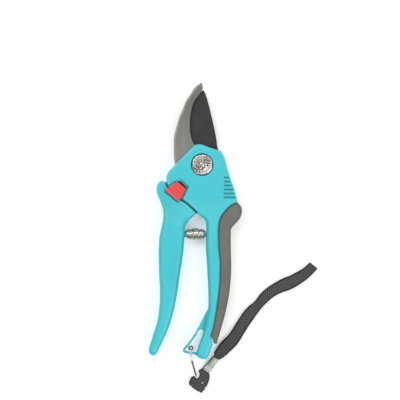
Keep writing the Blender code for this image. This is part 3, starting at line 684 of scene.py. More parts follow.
def plated(name, colour, roughness, dirt_and_shade=0.12):
    """Bright plating with faint polishing haze, and darker brown patches where the mesh is marked, partly
    dirt and partly painted shade.
    """
    paint = Paint(name, colour, roughness, 1.0)
    haze = paint.noise(2.4, 5.0)
    hair = paint.noise(0.12, 3.0, (0.1, 1.0, 1.0), rough=0.7)
    patch = paint.noise(1.3, 3.0)
    tint = paint.layers(colour, haze, 0.92, 1.04, span=(0.35, 0.65))
    # Dirt and painted shade: patchy dark brown where the mesh marks deep
    darkest = (0.75 * dirt_and_shade, 0.55 * dirt_and_shade, 0.36 * dirt_and_shade)
    grime_and_shade = paint.mix(paint.spread(patch, 0, 1, 0.42, 0.58), darkest, shade(colour, 0.5 + dirt_and_shade))
    tint = paint.mix(paint.marked("deep"), tint, grime_and_shade)
    rough = paint.spread(haze, roughness - 0.04, roughness + 0.08, 0.35, 0.65)
    paint.bump(hair, 0.002)
    return paint.done(tint, paint.add(rough, paint.spread(hair, -0.03, 0.05)))


def woven(name, colour, pitch=0.95, stripe=2.7):
    """Webbing in a herringbone weave, laid out along the mesh's own u and v, in millimetres."""
    paint = Paint(name, colour, 0.86)
    weave_map = paint.node("ShaderNodeUVMap", uv_map="weave").outputs["UV"]
    split = paint.node("ShaderNodeSeparateXYZ", {"Vector": weave_map})
    u, v = split.outputs["X"], split.outputs["Y"]
    zigzag = paint.maths("SUBTRACT", paint.maths("FRACT", paint.maths("DIVIDE", u, stripe)), 0.5)
    lean = paint.times(paint.maths("ABSOLUTE", zigzag), stripe)
    rib = paint.maths("SINE", paint.times(paint.add(v, lean), math.tau / (2 * pitch)))
    end = paint.maths("SINE", paint.times(u, math.tau / pitch))
    weave = paint.times(rib, paint.add(paint.times(end, 0.35), 0.65))
    fuzz = paint.noise(0.10, 3.0)
    cloud = paint.noise(5.0, 3.0)
    uneven = (fuzz, 0.4, 0.5, 0.75, 1.9), (cloud, 0.3, 0.4, 0.7, 0.6)
    tint = paint.layers(colour, weave, 0.25, 2.0, *uneven, span=(-0.8, 0.9))
    # Darker along the marked edges and where the strap folds
    tint = paint.mix(paint.marked("hem"), tint, shade(colour, 0.12))
    paint.bump(weave, 0.10)
    paint.bump(fuzz, 0.03)
    return paint.done(tint, paint.spread(fuzz, 0.78, 0.92, 0.35, 0.65))


def braided(name, colour):
    """A thin braided cord."""
    paint = Paint(name, colour, 0.85)
    twist = paint.node("ShaderNodeTexWave", {
        "Vector": paint.place, "Scale": 420.0, "Distortion": 1.5, "Detail": 1.0,
    }, bands_direction="DIAGONAL").outputs["Fac"]
    fuzz = paint.noise(0.12, 2.0)
    paint.bump(twist, 0.12)
    paint.bump(fuzz, 0.02)
    tint = paint.mix(twist, shade(colour, 0.5), shade(colour, 1.8))
    return paint.done(tint, paint.spread(fuzz, 0.75, 0.9, 0.35, 0.65))


# ---- the shears' outlines ----

HEAD_TOP_EDGE = [(-5.8, 14.6), (-1.3, 15.1), (5.0, 12.9), (11.2, 10.9), (14.0, 10.1)]
HEAD_RIGHT_EDGE = [
    (14.0, 10.1), (16.0, 6.7), (17.4, 2.3), (18.7, -2.5), (20.2, -7.5), (21.7, -12.2), (24.2, -19.2),
    (25.4, -23.5), (26.2, -28.2),
]
CORE_OUTER_EDGE = [
    (26.2, -28.2), (20.9, -30.7), (17.0, -34.6), (14.3, -38.2), (12.8, -42.3), (12.1, -47.3), (12.1, -54.8),
    (12.4, -62.4), (13.2, -70.3), (13.3, -80.1), (12.4, -94.2), (10.4, -108.3), (8.1, -120.6),
    (6.2, -127.2),
]
CORE_INNER_EDGE = [
    (2.1, -40.9), (3.0, -44.7), (3.0, -53.2), (2.7, -61.7), (3.3, -70.2), (4.1, -85.0), (4.6, -98.9),
    (4.4, -106.5), (3.0, -115.0), (0.8, -124.4), (-1.9, -132.0), (-4.0, -138.5), (-4.3, -141.4),
]
CORE_END = [(-4.3, -141.4), (-2.6, -143.0), (3.2, -143.8), (5.1, -141.0)]
CORE_NOTCH = [(5.1, -141.0), (7.9, -133.2)]
SEAM = [
    (2.1, -40.9), (0.4, -39.4), (-1.4, -38.1), (-3.0, -36.5), (-5.1, -34.1), (-10.3, -29.5),
    (-14.11, -26.53),
]
HEAD_LEFT_CORNER = [(-26.89, -13.41), (-26.3, -11.9), (-26.5, -8.9), (-25.2, -5.4)]

RIGHT_INNER_SIDE = (
    CORE_END[::-1],
    CORE_INNER_EDGE[::-1],
    SEAM,
    arc(FRONT_HEAD_R, 242, 206.5),
    HEAD_LEFT_CORNER,
    [(-25.2, -5.4), (-5.8, 14.6)],
)
RIGHT_FRONT = outline(
    HEAD_TOP_EDGE,
    HEAD_RIGHT_EDGE,
    CORE_OUTER_EDGE,
    [(6.2, -127.2), (7.9, -133.2)],
    CORE_NOTCH[::-1],
    *RIGHT_INNER_SIDE,
)

RIGHT_BODY = outline(
    arc(SEAM_R, 324, 298),
    [(13.57, -25.5), (9.6, -28.65), (4.6, -33.3), (2.2, -36.0)],
    [(2.2, -36.0), (2.1, -39.6)],
    [(2.1, -39.6)] + CORE_INNER_EDGE[1:],
    CORE_END,
    CORE_NOTCH,
    [(7.9, -133.2), (6.2, -127.2)],
    CORE_OUTER_EDGE[::-1],
    [(26.2, -28.2), (25.4, -23.5), (24.2, -19.2), (23.38, -16.99)],
)

GRIP_OUTER_EDGE = [
    (10.7, -132.8), (13.1, -124.4), (16.9, -111.1), (19.8, -97.0), (21.2, -84.7), (21.5, -74.3),
    (21.3, -64.5), (21.2, -53.2), (21.6, -47.4), (24.2, -44.2), (27.6, -40.2), (29.3, -35.7), (28.9, -31.2),
    (26.6, -28.6),
]
GRIP = outline(
    CORE_OUTER_EDGE,
    [(6.2, -127.2), (6.7, -127.2), (8.7, -132.4)],
    [(8.7, -132.4), (10.7, -132.8)],
    GRIP_OUTER_EDGE,
)

# The gripped handle's whole silhouette, plastic and rubber together
RIGHT_WHOLE = outline(
    HEAD_TOP_EDGE,
    HEAD_RIGHT_EDGE[:-1] + [(26.4, -28.2)],
    GRIP_OUTER_EDGE[::-1][1:],
    [(10.7, -132.8), (8.3, -132.5)],
    [(7.9, -133.2), (5.1, -141.0)],
    *RIGHT_INNER_SIDE,
)

LOOP = outline(
    [(6.0, -105.0), (3.9, -107.6), (-1.6, -118.2), (-6.0, -125.9), (-9.6, -131.0), (-12.2, -134.0),
     (-14.6, -137.5)],
    [(-14.6, -137.5), (-13.6, -139.2), (-11.6, -139.9)],
    [(-11.6, -139.9), (-6.0, -140.6), (-2.6, -142.4)],
    [(-2.6, -142.4), (1.5, -139.0), (4.0, -128.0), (7.0, -112.0), (6.0, -105.0)],
)
LOOP_HOLE = outline(
    [(-1.1, -121.9), (-2.5, -122.8), (-4.3, -126.3), (-8.7, -132.3), (-10.5, -134.9), (-12.9, -137.2)],
    [(-12.9, -137.2), (-10.6, -138.4), (-3.4, -138.9)],
    [(-3.4, -138.9), (1.6, -124.6)],
    [(1.6, -124.6), (0.9, -122.9), (-1.1, -121.9)],
)

LEFT_INNER_EDGE = [
    (-4.4, -35.5), (-4.7, -36.3), (-7.0, -38.5), (-11.0, -43.0), (-12.6, -46.4), (-12.9, -50.4),
    (-13.4, -57.7), (-14.1, -66.0), (-16.7, -82.9), (-18.9, -98.0), (-21.8, -111.1), (-25.1, -121.6),
    (-29.4, -131.0), (-33.2, -138.9),
]
LEFT_END = [(-33.2, -138.9), (-34.6, -140.8), (-36.8, -141.3), (-39.0, -139.8), (-39.7, -136.9)]
LEFT_OUTER_EDGE = [
    (-39.7, -136.9), (-36.4, -126.3), (-33.2, -115.9), (-31.6, -103.6), (-31.3, -92.0), (-31.9, -82.0),
    (-32.2, -70.2), (-32.2, -61.7), (-31.6, -53.2), (-30.2, -46.4), (-28.8, -39.5), (-28.9, -34.0),
    (-30.2, -28.8), (-32.7, -23.2), (-33.8, -19.2), (-33.2, -15.2), (-31.8, -12.9), (-30.0, -12.0),
    (-28.4, -12.3), (-27.37, -13.35),
]
LEFT_BODY = outline(
    arc(FRONT_SEAM_R, 206, 242),
    [(-14.3, -26.89), (-10.57, -29.8), (-5.4, -34.4), (-4.4, -35.5)],
    LEFT_INNER_EDGE,
    LEFT_END,
    LEFT_OUTER_EDGE,
)
LEFT_WHOLE = outline(
    LEFT_INNER_EDGE[1:],
    LEFT_END,
    LEFT_OUTER_EDGE,
    [(-27.37, -13.35), (-25.9, -11.6), (-26.0, -9.2), (-24.7, -5.8)],
    [(-24.7, -5.8), (-5.8, 13.2)],
    [(-5.8, 13.2), (-1.3, 14.4), (5.0, 12.4), (10.8, 10.5), (13.6, 9.6)],
    [(13.6, 9.6), (15.4, 6.4), (16.8, 2.0), (18.1, -2.8), (19.6, -7.8), (21.1, -12.4), (22.88, -17.0)],
    arc(HEAD_R, 323.4, 298),
    [(13.38, -25.16), (9.3, -28.3), (4.1, -32.9), (0.4, -35.8)],
    [(0.4, -35.8), (-4.7, -36.3)],
)

HOOK_OUTER_EDGE = [
    (-0.1, 61.1), (-4.9, 57.6), (-8.7, 51.9), (-11.7, 47.4), (-14.7, 40.2), (-17.3, 34.1), (-19.2, 27.3),
    (-20.7, 21.3), (-21.0, 14.0), (-20.9, 6.7), (-20.2, 0.4),
]
HOOK_INNER_EDGE = [
    (-3.6, 12.4), (-5.8, 14.9), (-7.5, 18.3), (-8.7, 23.5), (-9.0, 28.5), (-8.8, 34.1), (-7.9, 40.6),
    (-6.4, 45.8), (-3.3, 50.6), (0.3, 56.0), (-0.1, 61.1),
]
HOOK = outline(
    HOOK_OUTER_EDGE + [(-18.0, -4.5), (-13.4, -8.9), (-9.5, -12.5), (-4.0, -17.5), (0.5, -26.0), (4.2, -38.0),
                       (4.9, -48.0), (5.2, -70.0)],
    [(5.2, -70.0), (10.4, -70.0)],
    [(10.4, -70.0), (9.9, -48.0), (11.0, -38.0), (14.0, -26.0), (15.3, -12.0), (14.6, -2.0), (10.5, 6.0),
     (3.0, 10.8)] + HOOK_INNER_EDGE,
)

BLADE_SPINE = [(1.0, 55.6), (2.7, 51.9), (5.3, 42.8), (7.5, 33.7), (9.5, 24.7), (10.6, 18.6), (11.3, 13.4)]
BLADE_EDGE = [
    (-10.8, 12.0), (-10.8, 20.0), (-11.2, 28.5), (-11.0, 34.0), (-10.1, 40.5), (-8.4, 45.7), (-5.2, 50.3),
    (1.0, 55.6),
]
BLADE = outline(
    BLADE_SPINE + [(13.0, 6.0), (13.6, -3.0), (11.0, -9.5), (5.0, -13.0), (-2.0, -15.0), (-9.0, -22.0),
                   (-14.5, -32.0), (-17.4, -44.0), (-18.4, -70.0)],
    [(-18.4, -70.0), (-24.0, -70.0)],
    [(-24.0, -70.0), (-23.6, -44.0), (-22.0, -30.0), (-19.0, -17.0), (-15.6, -7.0), (-13.0, 3.0)]
    + BLADE_EDGE,
)

BUTTON_CORNERS = [(-33.2, 5.4), (-21.7, 3.3), (-21.0, -4.8), (-27.0, -7.2), (-31.8, -7.6)]
LOCK_WELL = [(-23.5, 3.6), (-23.5, -4.9), (-19.9, -4.9), (-20.7, 3.3)]
BUTTON_RECESS = [(-36.0, 8.2), (-29.0, 6.6), (-18.95, 3.7), (-18.3, -5.1), (-26.4, -8.1), (-36.0, -9.0)]
BUTTON_GROOVE = [(-34.1, 4.9), (-32.7, 5.1), (-31.3, -7.6), (-32.7, -7.7)]


# ---- the two handles ----


def swell(points):
    """0 on the head about the pivot, 1 out on the handles."""
    return ease((np.linalg.norm(points, axis=1) - 30.0) / 12.0)


def handle_rim(points, ring, head_rim=HEAD_RIM):
    """The drop of a handle's edge: tight on the head, and a wide soft round on the grip."""
    out = swell(points) * ease((-points[:, 1] - 24.0) / 16.0)
    wide = head_rim + (GRIP_RIM[0] - head_rim) * out
    high = head_rim * 0.8 + (GRIP_RIM[1] - head_rim * 0.8) * out
    return round_off(depth_in(points, ring), wide, high)


def from_seam(flat):
    """How far the gripped handle's points are from the edge that the plain handle faces."""
    return -depth_in(flat, LEFT_BODY) - SEAM_GAP


def loop_depth(points):
    return np.maximum(np.minimum(depth_in(points, LOOP), -depth_in(points, LOOP_HOLE)), 0)


def band(value, middle, width):
    """1 where the value is `middle`, fading out on both sides."""
    return np.exp(-(((value - middle) / width) ** 2))


def beside(points, run, most, width):
    """`most` on the run, falling to 0 at `width` mm from it."""
    return most * (1 - distance_to_run(points[:, :2], run) / width)


def lower_right(flat, width):
    """0 to 1 across a band `width` mm wide through the pivot, towards the handles and the grip."""
    return ease((flat @ np.array([0.71, -0.71])) / width + 0.5)


def build_right_handle(paint):
    recess = circle(BOLT_RECESS_R, spacing=0.35)
    lock_recess = rounded(slide_points(BUTTON_RECESS), 0.8)
    grooves = []
    for k in range(GROOVES):
        y = GROOVE_TOP - GROOVE_PITCH * k
        edge = 19.9 + 0.34 * (GROOVE_TOP - y)  # their ends follow the head's slanting edge
        corners = [(16.1, y - 0.5), (edge, y - 0.5), (edge, y + 0.5), (16.1, y + 0.5)]
        grooves.append(rounded(corners, 0.45, 0.2))

    def lock_place(flat):
        """Whether points are in the lock's recess, and their places along its slide and past the button."""
        along, across = (flat @ way for way in heading(LOCK_ANGLE))
        beyond = across - (3.3 - 0.183 * (along + 21.7))  # past the button's upper side
        below = -4.8 + 0.4 * (along + 21.0) - across  # past its lower side, as far as its inner corner
        return depth_in(flat, lock_recess) > -0.2, along, beyond, np.where(along < -20.6, below, -1.0)

    def smooth(points):
        """The front face without its recesses and grooves."""
        out = ease((np.linalg.norm(points, axis=1) - 27.0) / 26.0) * ease((-points[:, 1] - 14.0) / 18.0)
        z = HEAD_TOP + (TOP - HEAD_TOP) * out - handle_rim(points, RIGHT_WHOLE)
        z = z - round_off(depth_in(points, RIGHT_FRONT), 0.9, 0.8)
        z = z - 0.5 * (1 - ease(distance_to_run(points, CORE_OUTER_EDGE) / 1.6))
        return thinned(points[:, 1], z)

    def top(points):
        lock_depth = depth_in(points, lock_recess)
        _, _, beyond_button, _ = lock_place(points)
        z = sunk(smooth(points), depth_in(points, recess), BOLT_HEAD_Z[0] - GAP)
        z = sunk(z, lock_depth, LEDGE, 0.25)
        ramp = LEDGE + 1.1 * ease((beyond_button - 0.6) / 1.1)  # the floor's rise beside the button
        z = np.where(lock_depth > 0, np.maximum(z, ramp), z)
        for groove in grooves:
            z = z - GROOVE_DEPTH * ease((depth_in(points, groove) + 0.12) / 0.3)
        return z

    def bottom(points):
        body = depth_in(points, RIGHT_BODY)
        z = HEAD_BACK * (1 - swell(points)) + handle_rim(points, RIGHT_WHOLE) + round_off(body, 0.9, 0.8)
        return np.where(body > 0, thinned(points[:, 1], z), FRONT_HALF)

    steep = (-0.45, -0.25, -0.1, -0.02, 0.02, 0.12)
    features = [(recess, steep), (lock_recess, steep), (RIGHT_BODY, STEP_OFFSETS)]
    features += [(groove, (-0.3, -0.12, 0.0, 0.1, 0.18, 0.3)) for groove in grooves]
    handle = relief("handle_gripped", RIGHT_FRONT, top, bottom, features)
    combine(handle, build_loop())
    combine(handle, spring_boss(SPRING_X[1] - 3.0, SPRING_X[1] + 3.1))
    for ring, low, high in (
        (grown(HOOK, GAP), FRONT_HALF - 0.4, HOOK_Z[1] + GAP),
        (circle(SHANK_R + GAP), 5.0, 18.0),
        (slide_box(-27.2, -2.5, -20.2, 1.5), 10.0, 16.0),  # the button's stem
        (slide_box(-34.0, -3.3, -17.6, 2.3), FRONT_HALF - 0.5, 11.8),  # the steel tongue
        (slide_box(-26.6, 1.9, -18.6, 4.4), FRONT_HALF - 0.6, 11.6),  # the detent
        (rounded(slide_points(LOCK_WELL[::-1]), 0.5), 11.2, 15.0),  # the well the button slides into
    ):
        cut(handle, ring, low, high)

    # Painted shade: darker in recesses and grooves, a painted shadow beside the lock button and in the bolt's
    # recess, along the seam, beside the grip, on the loop and just inside the inner edge
    def deep(points, normals):
        flat = points[:, :2]
        over = (depth_in(flat, RIGHT_FRONT) > 0.25) & (points[:, 2] > LOOP_Z[1] + 0.4)
        sunken = np.where(over, (smooth(flat) - points[:, 2] - 0.25) / 0.9, 0)
        grooved = np.max([depth_in(flat, groove) for groove in grooves], axis=0) > -0.15
        sunken = np.where(grooved, np.minimum(sunken, 0.55), sunken)
        in_recess, along, beyond_button, below_button = lock_place(flat)
        floor = np.where(along < -20.4 + 0.11 * (2.6 - beyond_button), 1.0, 0.6) * (below_button < 0.2)
        sunken = np.where(in_recess, np.minimum(sunken, floor) * (beyond_button < 0), sunken)
        # Painted shadow in the bolt's recess, strongest on the lower right
        around_bolt = np.linalg.norm(flat, axis=1) < BOLT_RECESS_R + 0.4
        sunken = np.where(around_bolt, sunken * (0.35 + 0.65 * lower_right(flat, 6.0)), sunken)
        seam = 0.85 * (1 - from_seam(flat) / 1.5) * (points[:, 2] > FRONT_HALF + 0.5)
        on_loop = 0.35 * (1 - loop_depth(flat) / 0.5) * (loop_depth(flat) > 0)
        beside_grip = beside(flat, CORE_OUTER_EDGE, 0.5, 1.5)
        at_edge = beside(flat, CORE_INNER_EDGE, 0.4, 0.7)
        return np.max([sunken, seam, beside_grip, on_loop, at_edge], axis=0)

    # Painted highlights: a thin rim along the head's edges, a line beside the seam, and a lighter strip
    # beside the lock button in its recess
    def light(points, normals):
        flat = points[:, :2]
        on_head = (points[:, 1] > -28) * (from_seam(flat) > 2.5)
        rim = 0.36 * band(depth_in(flat, RIGHT_WHOLE), 0.55, 0.35) * on_head
        rim = np.maximum(rim, 0.35 * band(from_seam(flat), 1.9, 0.35))
        in_recess, _, beyond_button, below_button = lock_place(flat)
        beside_button = 0.25 * in_recess * ((beyond_button >= -0.1) | (below_button >= 0.2))
        return np.maximum(rim * (normals[:, 2] > 0.2), beside_button)

    mark(handle, deep=deep, light=light)
    dress(handle, paint, "gripped_handle", "right_handle")


def build_loop():
    """The lanyard loop at the gripped handle's end."""
    def top(points):
        return LOOP_Z[1] - round_off(loop_depth(points), 0.8, 0.9)

    def bottom(points):
        return LOOP_Z[0] + round_off(loop_depth(points), 0.8, 0.9)

    rims = (0.04, 0.14, 0.32, 0.6, 0.85)
    return relief("loop", LOOP, top, bottom, [(LOOP_HOLE, [-r for r in rims])], rims=rims, holes=[LOOP_HOLE])


def build_left_handle(paint):
    groove = rounded(slide_points(BUTTON_GROOVE), 0.4, 0.2)
    seam = [*arc(FRONT_SEAM_R, 206, 242)[::4], (-10.57, -29.8), (-5.4, -34.4), (-4.4, -35.5)]

    def top(points):
        z = LEDGE + (TOP - LEDGE) * ease((np.linalg.norm(points, axis=1) - 33.0) / 18.0)
        z = z - handle_rim(points, LEFT_BODY, 1.5) - 0.9 * ease((depth_in(points, groove) + 0.15) / 0.3)
        return np.where(depth_in(points, LEFT_BODY) > 0, thinned(points[:, 1], z), BACK_HALF)

    def bottom(points):
        return thinned(points[:, 1], HEAD_BACK * (1 - swell(points)) + handle_rim(points, LEFT_WHOLE))

    features = [(LEFT_BODY, STEP_OFFSETS), (groove, (-0.3, -0.15, 0.0, 0.15, 0.4))]
    handle = relief("handle_plain", LEFT_WHOLE, top, bottom, features)
    combine(handle, spring_boss(SPRING_X[0] - 3.7, SPRING_X[0] + 2.9))
    cut(handle, grown(BLADE, GAP), BLADE_Z[0] - GAP, BACK_HALF + 0.4)
    cut(handle, circle(SHANK_R + GAP), -1.0, 10.0)
    cut(handle, circle(NUT_POCKET_R), -1.0, 3.9)

    # Painted shade along the seam with the head, in the groove under the lock button, and just inside the
    # inner edge
    def deep(points, normals):
        flat = points[:, :2]
        beside_head = (0.45 - distance_to_run(flat, seam)) / 0.3
        in_groove = (depth_in(flat, groove) + 0.15) / 0.3
        marks = np.maximum(beside_head, in_groove) * (points[:, 2] > BACK_HALF + 0.5)
        return np.maximum(marks, beside(flat, LEFT_INNER_EDGE[1:], 0.4, 0.7))

    # Painted highlight: a light line along the edge that faces the head
    def light(points, normals):
        flat = points[:, :2]
        edge = band(distance_to_run(flat, seam), 1.0, 0.35)
        return 0.3 * edge * (normals[:, 2] > 0.2) * (depth_in(flat, LEFT_BODY) > 0)

    mark(handle, deep=deep, light=light)
    dress(handle, paint, "plain_handle", "left_handle")


def build_grip(paint):
    def top(points):
        z = TOP - handle_rim(points, RIGHT_WHOLE) - round_off(depth_in(points, GRIP), 1.6, 1.4)
        return thinned(points[:, 1], z)

    def bottom(points):
        z = handle_rim(points, RIGHT_WHOLE) + round_off(depth_in(points, GRIP), 1.2, 1.0)
        return thinned(points[:, 1], z)

    # Painted shade beside the core and along the outer edge
    def deep(points, normals):
        beside_core = beside(points, CORE_OUTER_EDGE, 0.4, 1.2)
        return np.maximum(beside_core, beside(points, GRIP_OUTER_EDGE, 0.75, 1.0))

    grip = relief("grip_soft", GRIP, top, bottom)
    mark(grip, deep=deep)
    dress(grip, paint, "gripped_handle", "soft_grip")


# ---- blades ----


def build_hook(paint):
    def top(points):
        outer = distance_to_run(points, HOOK_OUTER_EDGE)
        z = HOOK_Z[1] - 0.55 * np.clip(1 - outer / 0.9, 0, 1)
        return z - round_off(depth_in(points, HOOK), 0.25, 0.2)

    # Painted highlight along the outer bevel
    def light(points, normals):
        return 0.8 * (1.1 - distance_to_run(points[:, :2], HOOK_OUTER_EDGE)) * (normals[:, 2] > 0.3)

    # Painted shade, deepening towards the tip
    def deep(points, normals):
        return 0.4 * ease((points[:, 1] - 2.0) / 50.0)

    bottom = rounded_face(HOOK_Z[0], HOOK, 0.15, -0.12)
    hook = relief("blade_hook", HOOK, top, bottom, rims=(0.05, 0.15, 0.4, 0.8, 0.95, 1.5))
    cut(hook, circle(BLADE_BORE_R), 7.0, 13.0)
    mark(hook, light=light, deep=deep)
    dress(hook, paint, "gripped_handle", "hook_blade")


def build_blade(paint):
    def bottom(points):
        edge, spine = distance_to_run(points, BLADE_EDGE), distance_to_run(points, BLADE_SPINE)
        z = BLADE_Z[0] + 2.3 * np.clip(1 - edge / 7.0, 0, 1) * ease((points[:, 1] - 8.0) / 6.0)
        return z + 0.5 * np.clip(1 - spine, 0, 1)

    def bare(points, normals):
        back = ease((points[:, 1] - 9.0) / 4.0) * (points[:, 2] < BLADE_Z[1] - 0.08)
        return (1.0 - (distance_to_run(points[:, :2], BLADE_EDGE) - 6.2) / 1.6) * back * (normals[:, 2] < 0.3)

    top = rounded_face(BLADE_Z[1], BLADE, 0.12, 0.1)
    blade = relief("blade_cutting", BLADE, top, bottom, rims=(0.05, 0.15, 0.5, 1.0, 2.0, 3.5, 5.0, 6.9, 7.1))
    cut(blade, circle(BLADE_BORE_R), 4.0, 10.0)
    mark(blade, bare=bare)
    dress(blade, paint, "plain_handle", "cutting_blade")


# ---- pivot, lock and spring ----


def level(z):
    """A height function that is z everywhere."""
    return lambda points: np.full(len(points), z)


def wave(where, pitch):
    return 0.5 + 0.5 * np.cos(where * math.tau / pitch)


def build_bolt(paint):
    low, high = BOLT_HEAD_Z
    floor = high - CHANNEL_DEPTH
    along, across = heading(SLOT_ANGLE)

    def top(points):
        """A domed head with a channel across it, bumps along the channel, and a hub with a centre mark."""
        radius = np.linalg.norm(points, axis=1)
        where, side = points @ along, np.abs(points @ across)
        z = high - round_off(BOLT_HEAD_R - radius, 1.2, 0.9) - 0.25 * ease((5.4 - radius) / 3.0)
        # The channel, whose walls are notched at each bump
        wall = CHANNEL_HALF + 0.9 * ease((wave(where, BUMP_PITCH) - 0.45) / 0.25)
        z = z + (floor - z) * ease((wall - side) / 0.22)
        # Two rows of bumps
        rail = 1 - ease((np.abs(side - 1.95) - 0.45) / 0.22)
        gap = ease((wave(where - BUMP_PITCH / 2, BUMP_PITCH) - 0.5) / 0.25)
        z = np.maximum(z, floor + (high - 0.15 - floor) * rail * (1 - gap) * ease((6.6 - radius) / 0.3))
        # The hub
        hub = high - 0.1 - 0.4 * np.clip(radius / 1.5, 0, 1) ** 4
        z = np.maximum(z, floor + (hub - floor) * (1 - ease((radius - 1.35) / 0.25)))
        return z - 0.4 * (1 - ease((radius - 0.55) / 0.2))

    # Darker in the channel, and a painted shade over the head's upper-left side, strongest at its rim
    def deep(points, normals):
        radius = np.linalg.norm(points[:, :2], axis=1)
        painted_shade_side = (0.38 + 0.4 * (radius > 6.3)) * (1 - lower_right(points[:, :2], 5.0))
        sunken = np.where(radius < 7.0, (high - 0.45 - points[:, 2]) / 0.7, 0)
        return np.maximum(sunken, painted_shade_side * (points[:, 2] > low + 0.5))

    ring = circle(BOLT_HEAD_R, spacing=0.22)
    bolt = relief("bolt_pivot", ring, top, level(low), cell=0.26, rims=(0.05, 0.2, 0.4, 0.7))
    combine(bolt, turned("shank", [(SHANK_R - 0.3, 0.4), (SHANK_R, 0.7), (SHANK_R, low + 0.3)], 48))
    mark(bolt, deep=deep)
    dress(bolt, paint, "gripped_handle", "pivot_bolt")


def build_button(paint):
    corners = slide_points(BUTTON_CORNERS)
    ring = rounded(corners, 0.9)
    outer = (corners[0] - corners[-1]) / np.linalg.norm(corners[0] - corners[-1])

    def from_outer(points):
        """How far points are from the button's outer edge."""
        to = points[:, :2] - corners[0]
        return outer[1] * to[:, 0] - outer[0] * to[:, 1]

    def top(points):
        where = from_outer(points)
        ribs = 0.45 * wave(where - 3.2, 2.0) * ease((where - 2.2) / 0.6) * ease((10.2 - where) / 0.8)
        z = PAD_Z[1] - 0.3 + ribs - 1.0 * np.clip((1.5 - where) / 1.2, 0, 1)
        return z - round_off(depth_in(points, ring), 0.7, 0.7)

    # Painted highlight on the chamfer along the outer edge
    def light(points, normals):
        return 0.25 * np.clip((1.7 - from_outer(points)) / 0.4, 0, 1) * (normals[:, 2] > 0.3)

    # Painted shade in the valleys between the ribs
    def deep(points, normals):
        return 0.75 * (PAD_Z[1] - 0.05 - points[:, 2]) * (points[:, 2] > PAD_Z[1] - 0.5)

    button = relief("button_lock", ring, top, level(PAD_Z[0]), cell=0.45, rims=SMALL_RIM_OFFSETS)
    combine(button, cutter(slide_box(-26.9, -2.2, -22.9, 1.2), 11.9, PAD_Z[0] + 0.6))
    cut(button, circle(1.2, slide_points([(-24.9, -0.5)])[0], 0.3), 8.0, 13.6)
    mark(button, light=light, deep=deep)
    dress(button, paint, "lock", "lock_button")


def build_spring(paint):
    """A strip wound as two volutes that meet at their wide ends."""
    middle = (SPRING_X[0] + SPRING_X[1]) / 2
    nested_turns = VOLUTE_TURNS - MEETING_TURNS
    nested = (SPRING_X[1] - SPRING_X[0] - STRIP_WIDTH) / 2 - MEETING_TURNS * MEETING_PITCH
    edge = STRIP_THICK / 2
    flat = STRIP_WIDTH / 2 - edge
    bend = np.radians([90, 45, 0, -45, -90])
    section = [(flat + edge * math.cos(a), -edge + edge * math.sin(a)) for a in bend]
    section += [(x, -STRIP_THICK) for x in (0.9, 0.0, -0.9)]
    section += [(-x, z) for x, z in section[4::-1]]
    section += [(x, 0.0) for x in (-0.9, 0.0, 0.9)]
    rings = []
    for turns in np.linspace(-VOLUTE_TURNS, VOLUTE_TURNS, 320):
        meeting = np.clip(turns, -MEETING_TURNS, MEETING_TURNS)
        x = middle + meeting * MEETING_PITCH + (turns - meeting) * nested / nested_turns
        outer = SPRING_R - VOLUTE_STEP * math.sqrt(turns * turns + 0.01)
        cos, sin = math.cos(math.tau * turns), math.sin(math.tau * turns)
        rings.append(np.array([
            (x + dx, SPRING_Y + (outer + dr) * cos, SPRING_Z + (outer + dr) * sin) for dx, dr in section]))
    spring = skin("spring_return", rings)

    def painted_reflection_bands(points, normals):
        """Two painted dark reflection bands along the front, with ragged edges."""
        side = (points[:, 1] - SPRING_Y) / SPRING_R
        ragged = side + 0.12 * np.sin(points[:, 0] * 1.9) + 0.06 * np.sin(points[:, 0] * 4.7)
        return 0.85 * (band(ragged, 0.52, 0.13) + band(ragged, -0.36, 0.24)) * (normals[:, 2] > -0.2)

    mark(spring, deep=painted_reflection_bands)
    spring.data.materials.append(paint)
    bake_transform(spring)
    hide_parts("return_spring")


# ---- lanyard ----


def build_ring(paint):
    turn = np.linspace(0, math.tau, 48, endpoint=False)
    route = np.array([-8.4, -135.9, 11.0]) + 1.45 * np.column_stack([np.cos(turn), np.sin(turn), 0 * turn])
    ring = wire("ring_lanyard", route, 0.42, closed=True)
    return dress(ring, paint, "gripped_handle", "lanyard_ring")


def build_link(paint):
    """A long link that stands on edge, from the ring over the loop's bar and down to the cord."""
    top = np.array([-8.9, -135.3])
    down = np.array([-7.7, -144.9]) - top
    down /= np.linalg.norm(down)
    side_view = smooth_run([
        (0.3, 7.6), (0.6, 11.4), (3.2, 12.9), (5.8, 11.8), (7.7, 8.0), (9.0, 4.0), (9.1, 1.6), (7.8, 1.0),
        (5.0, 1.9), (1.9, 4.1), (0.6, 5.6), (0.3, 7.6),
    ], 0.4)[:-1]
    route = np.column_stack([top + side_view[:, :1] * down, side_view[:, 1]])
    link = wire("link_lanyard", route, 0.45, closed=True)
    return dress(link, paint, "gripped_handle", "lanyard_link")


def build_cord(paint):
    line = smooth_run([(-7.6, -146.0), (-6.5, -149.6), (-5.6, -153.2), (-4.6, -156.4)], 0.4)
    cord = wire("cord_lanyard", at_height(line, 1.0), 0.6)
    return dress(cord, paint, "gripped_handle", "lanyard_cord")


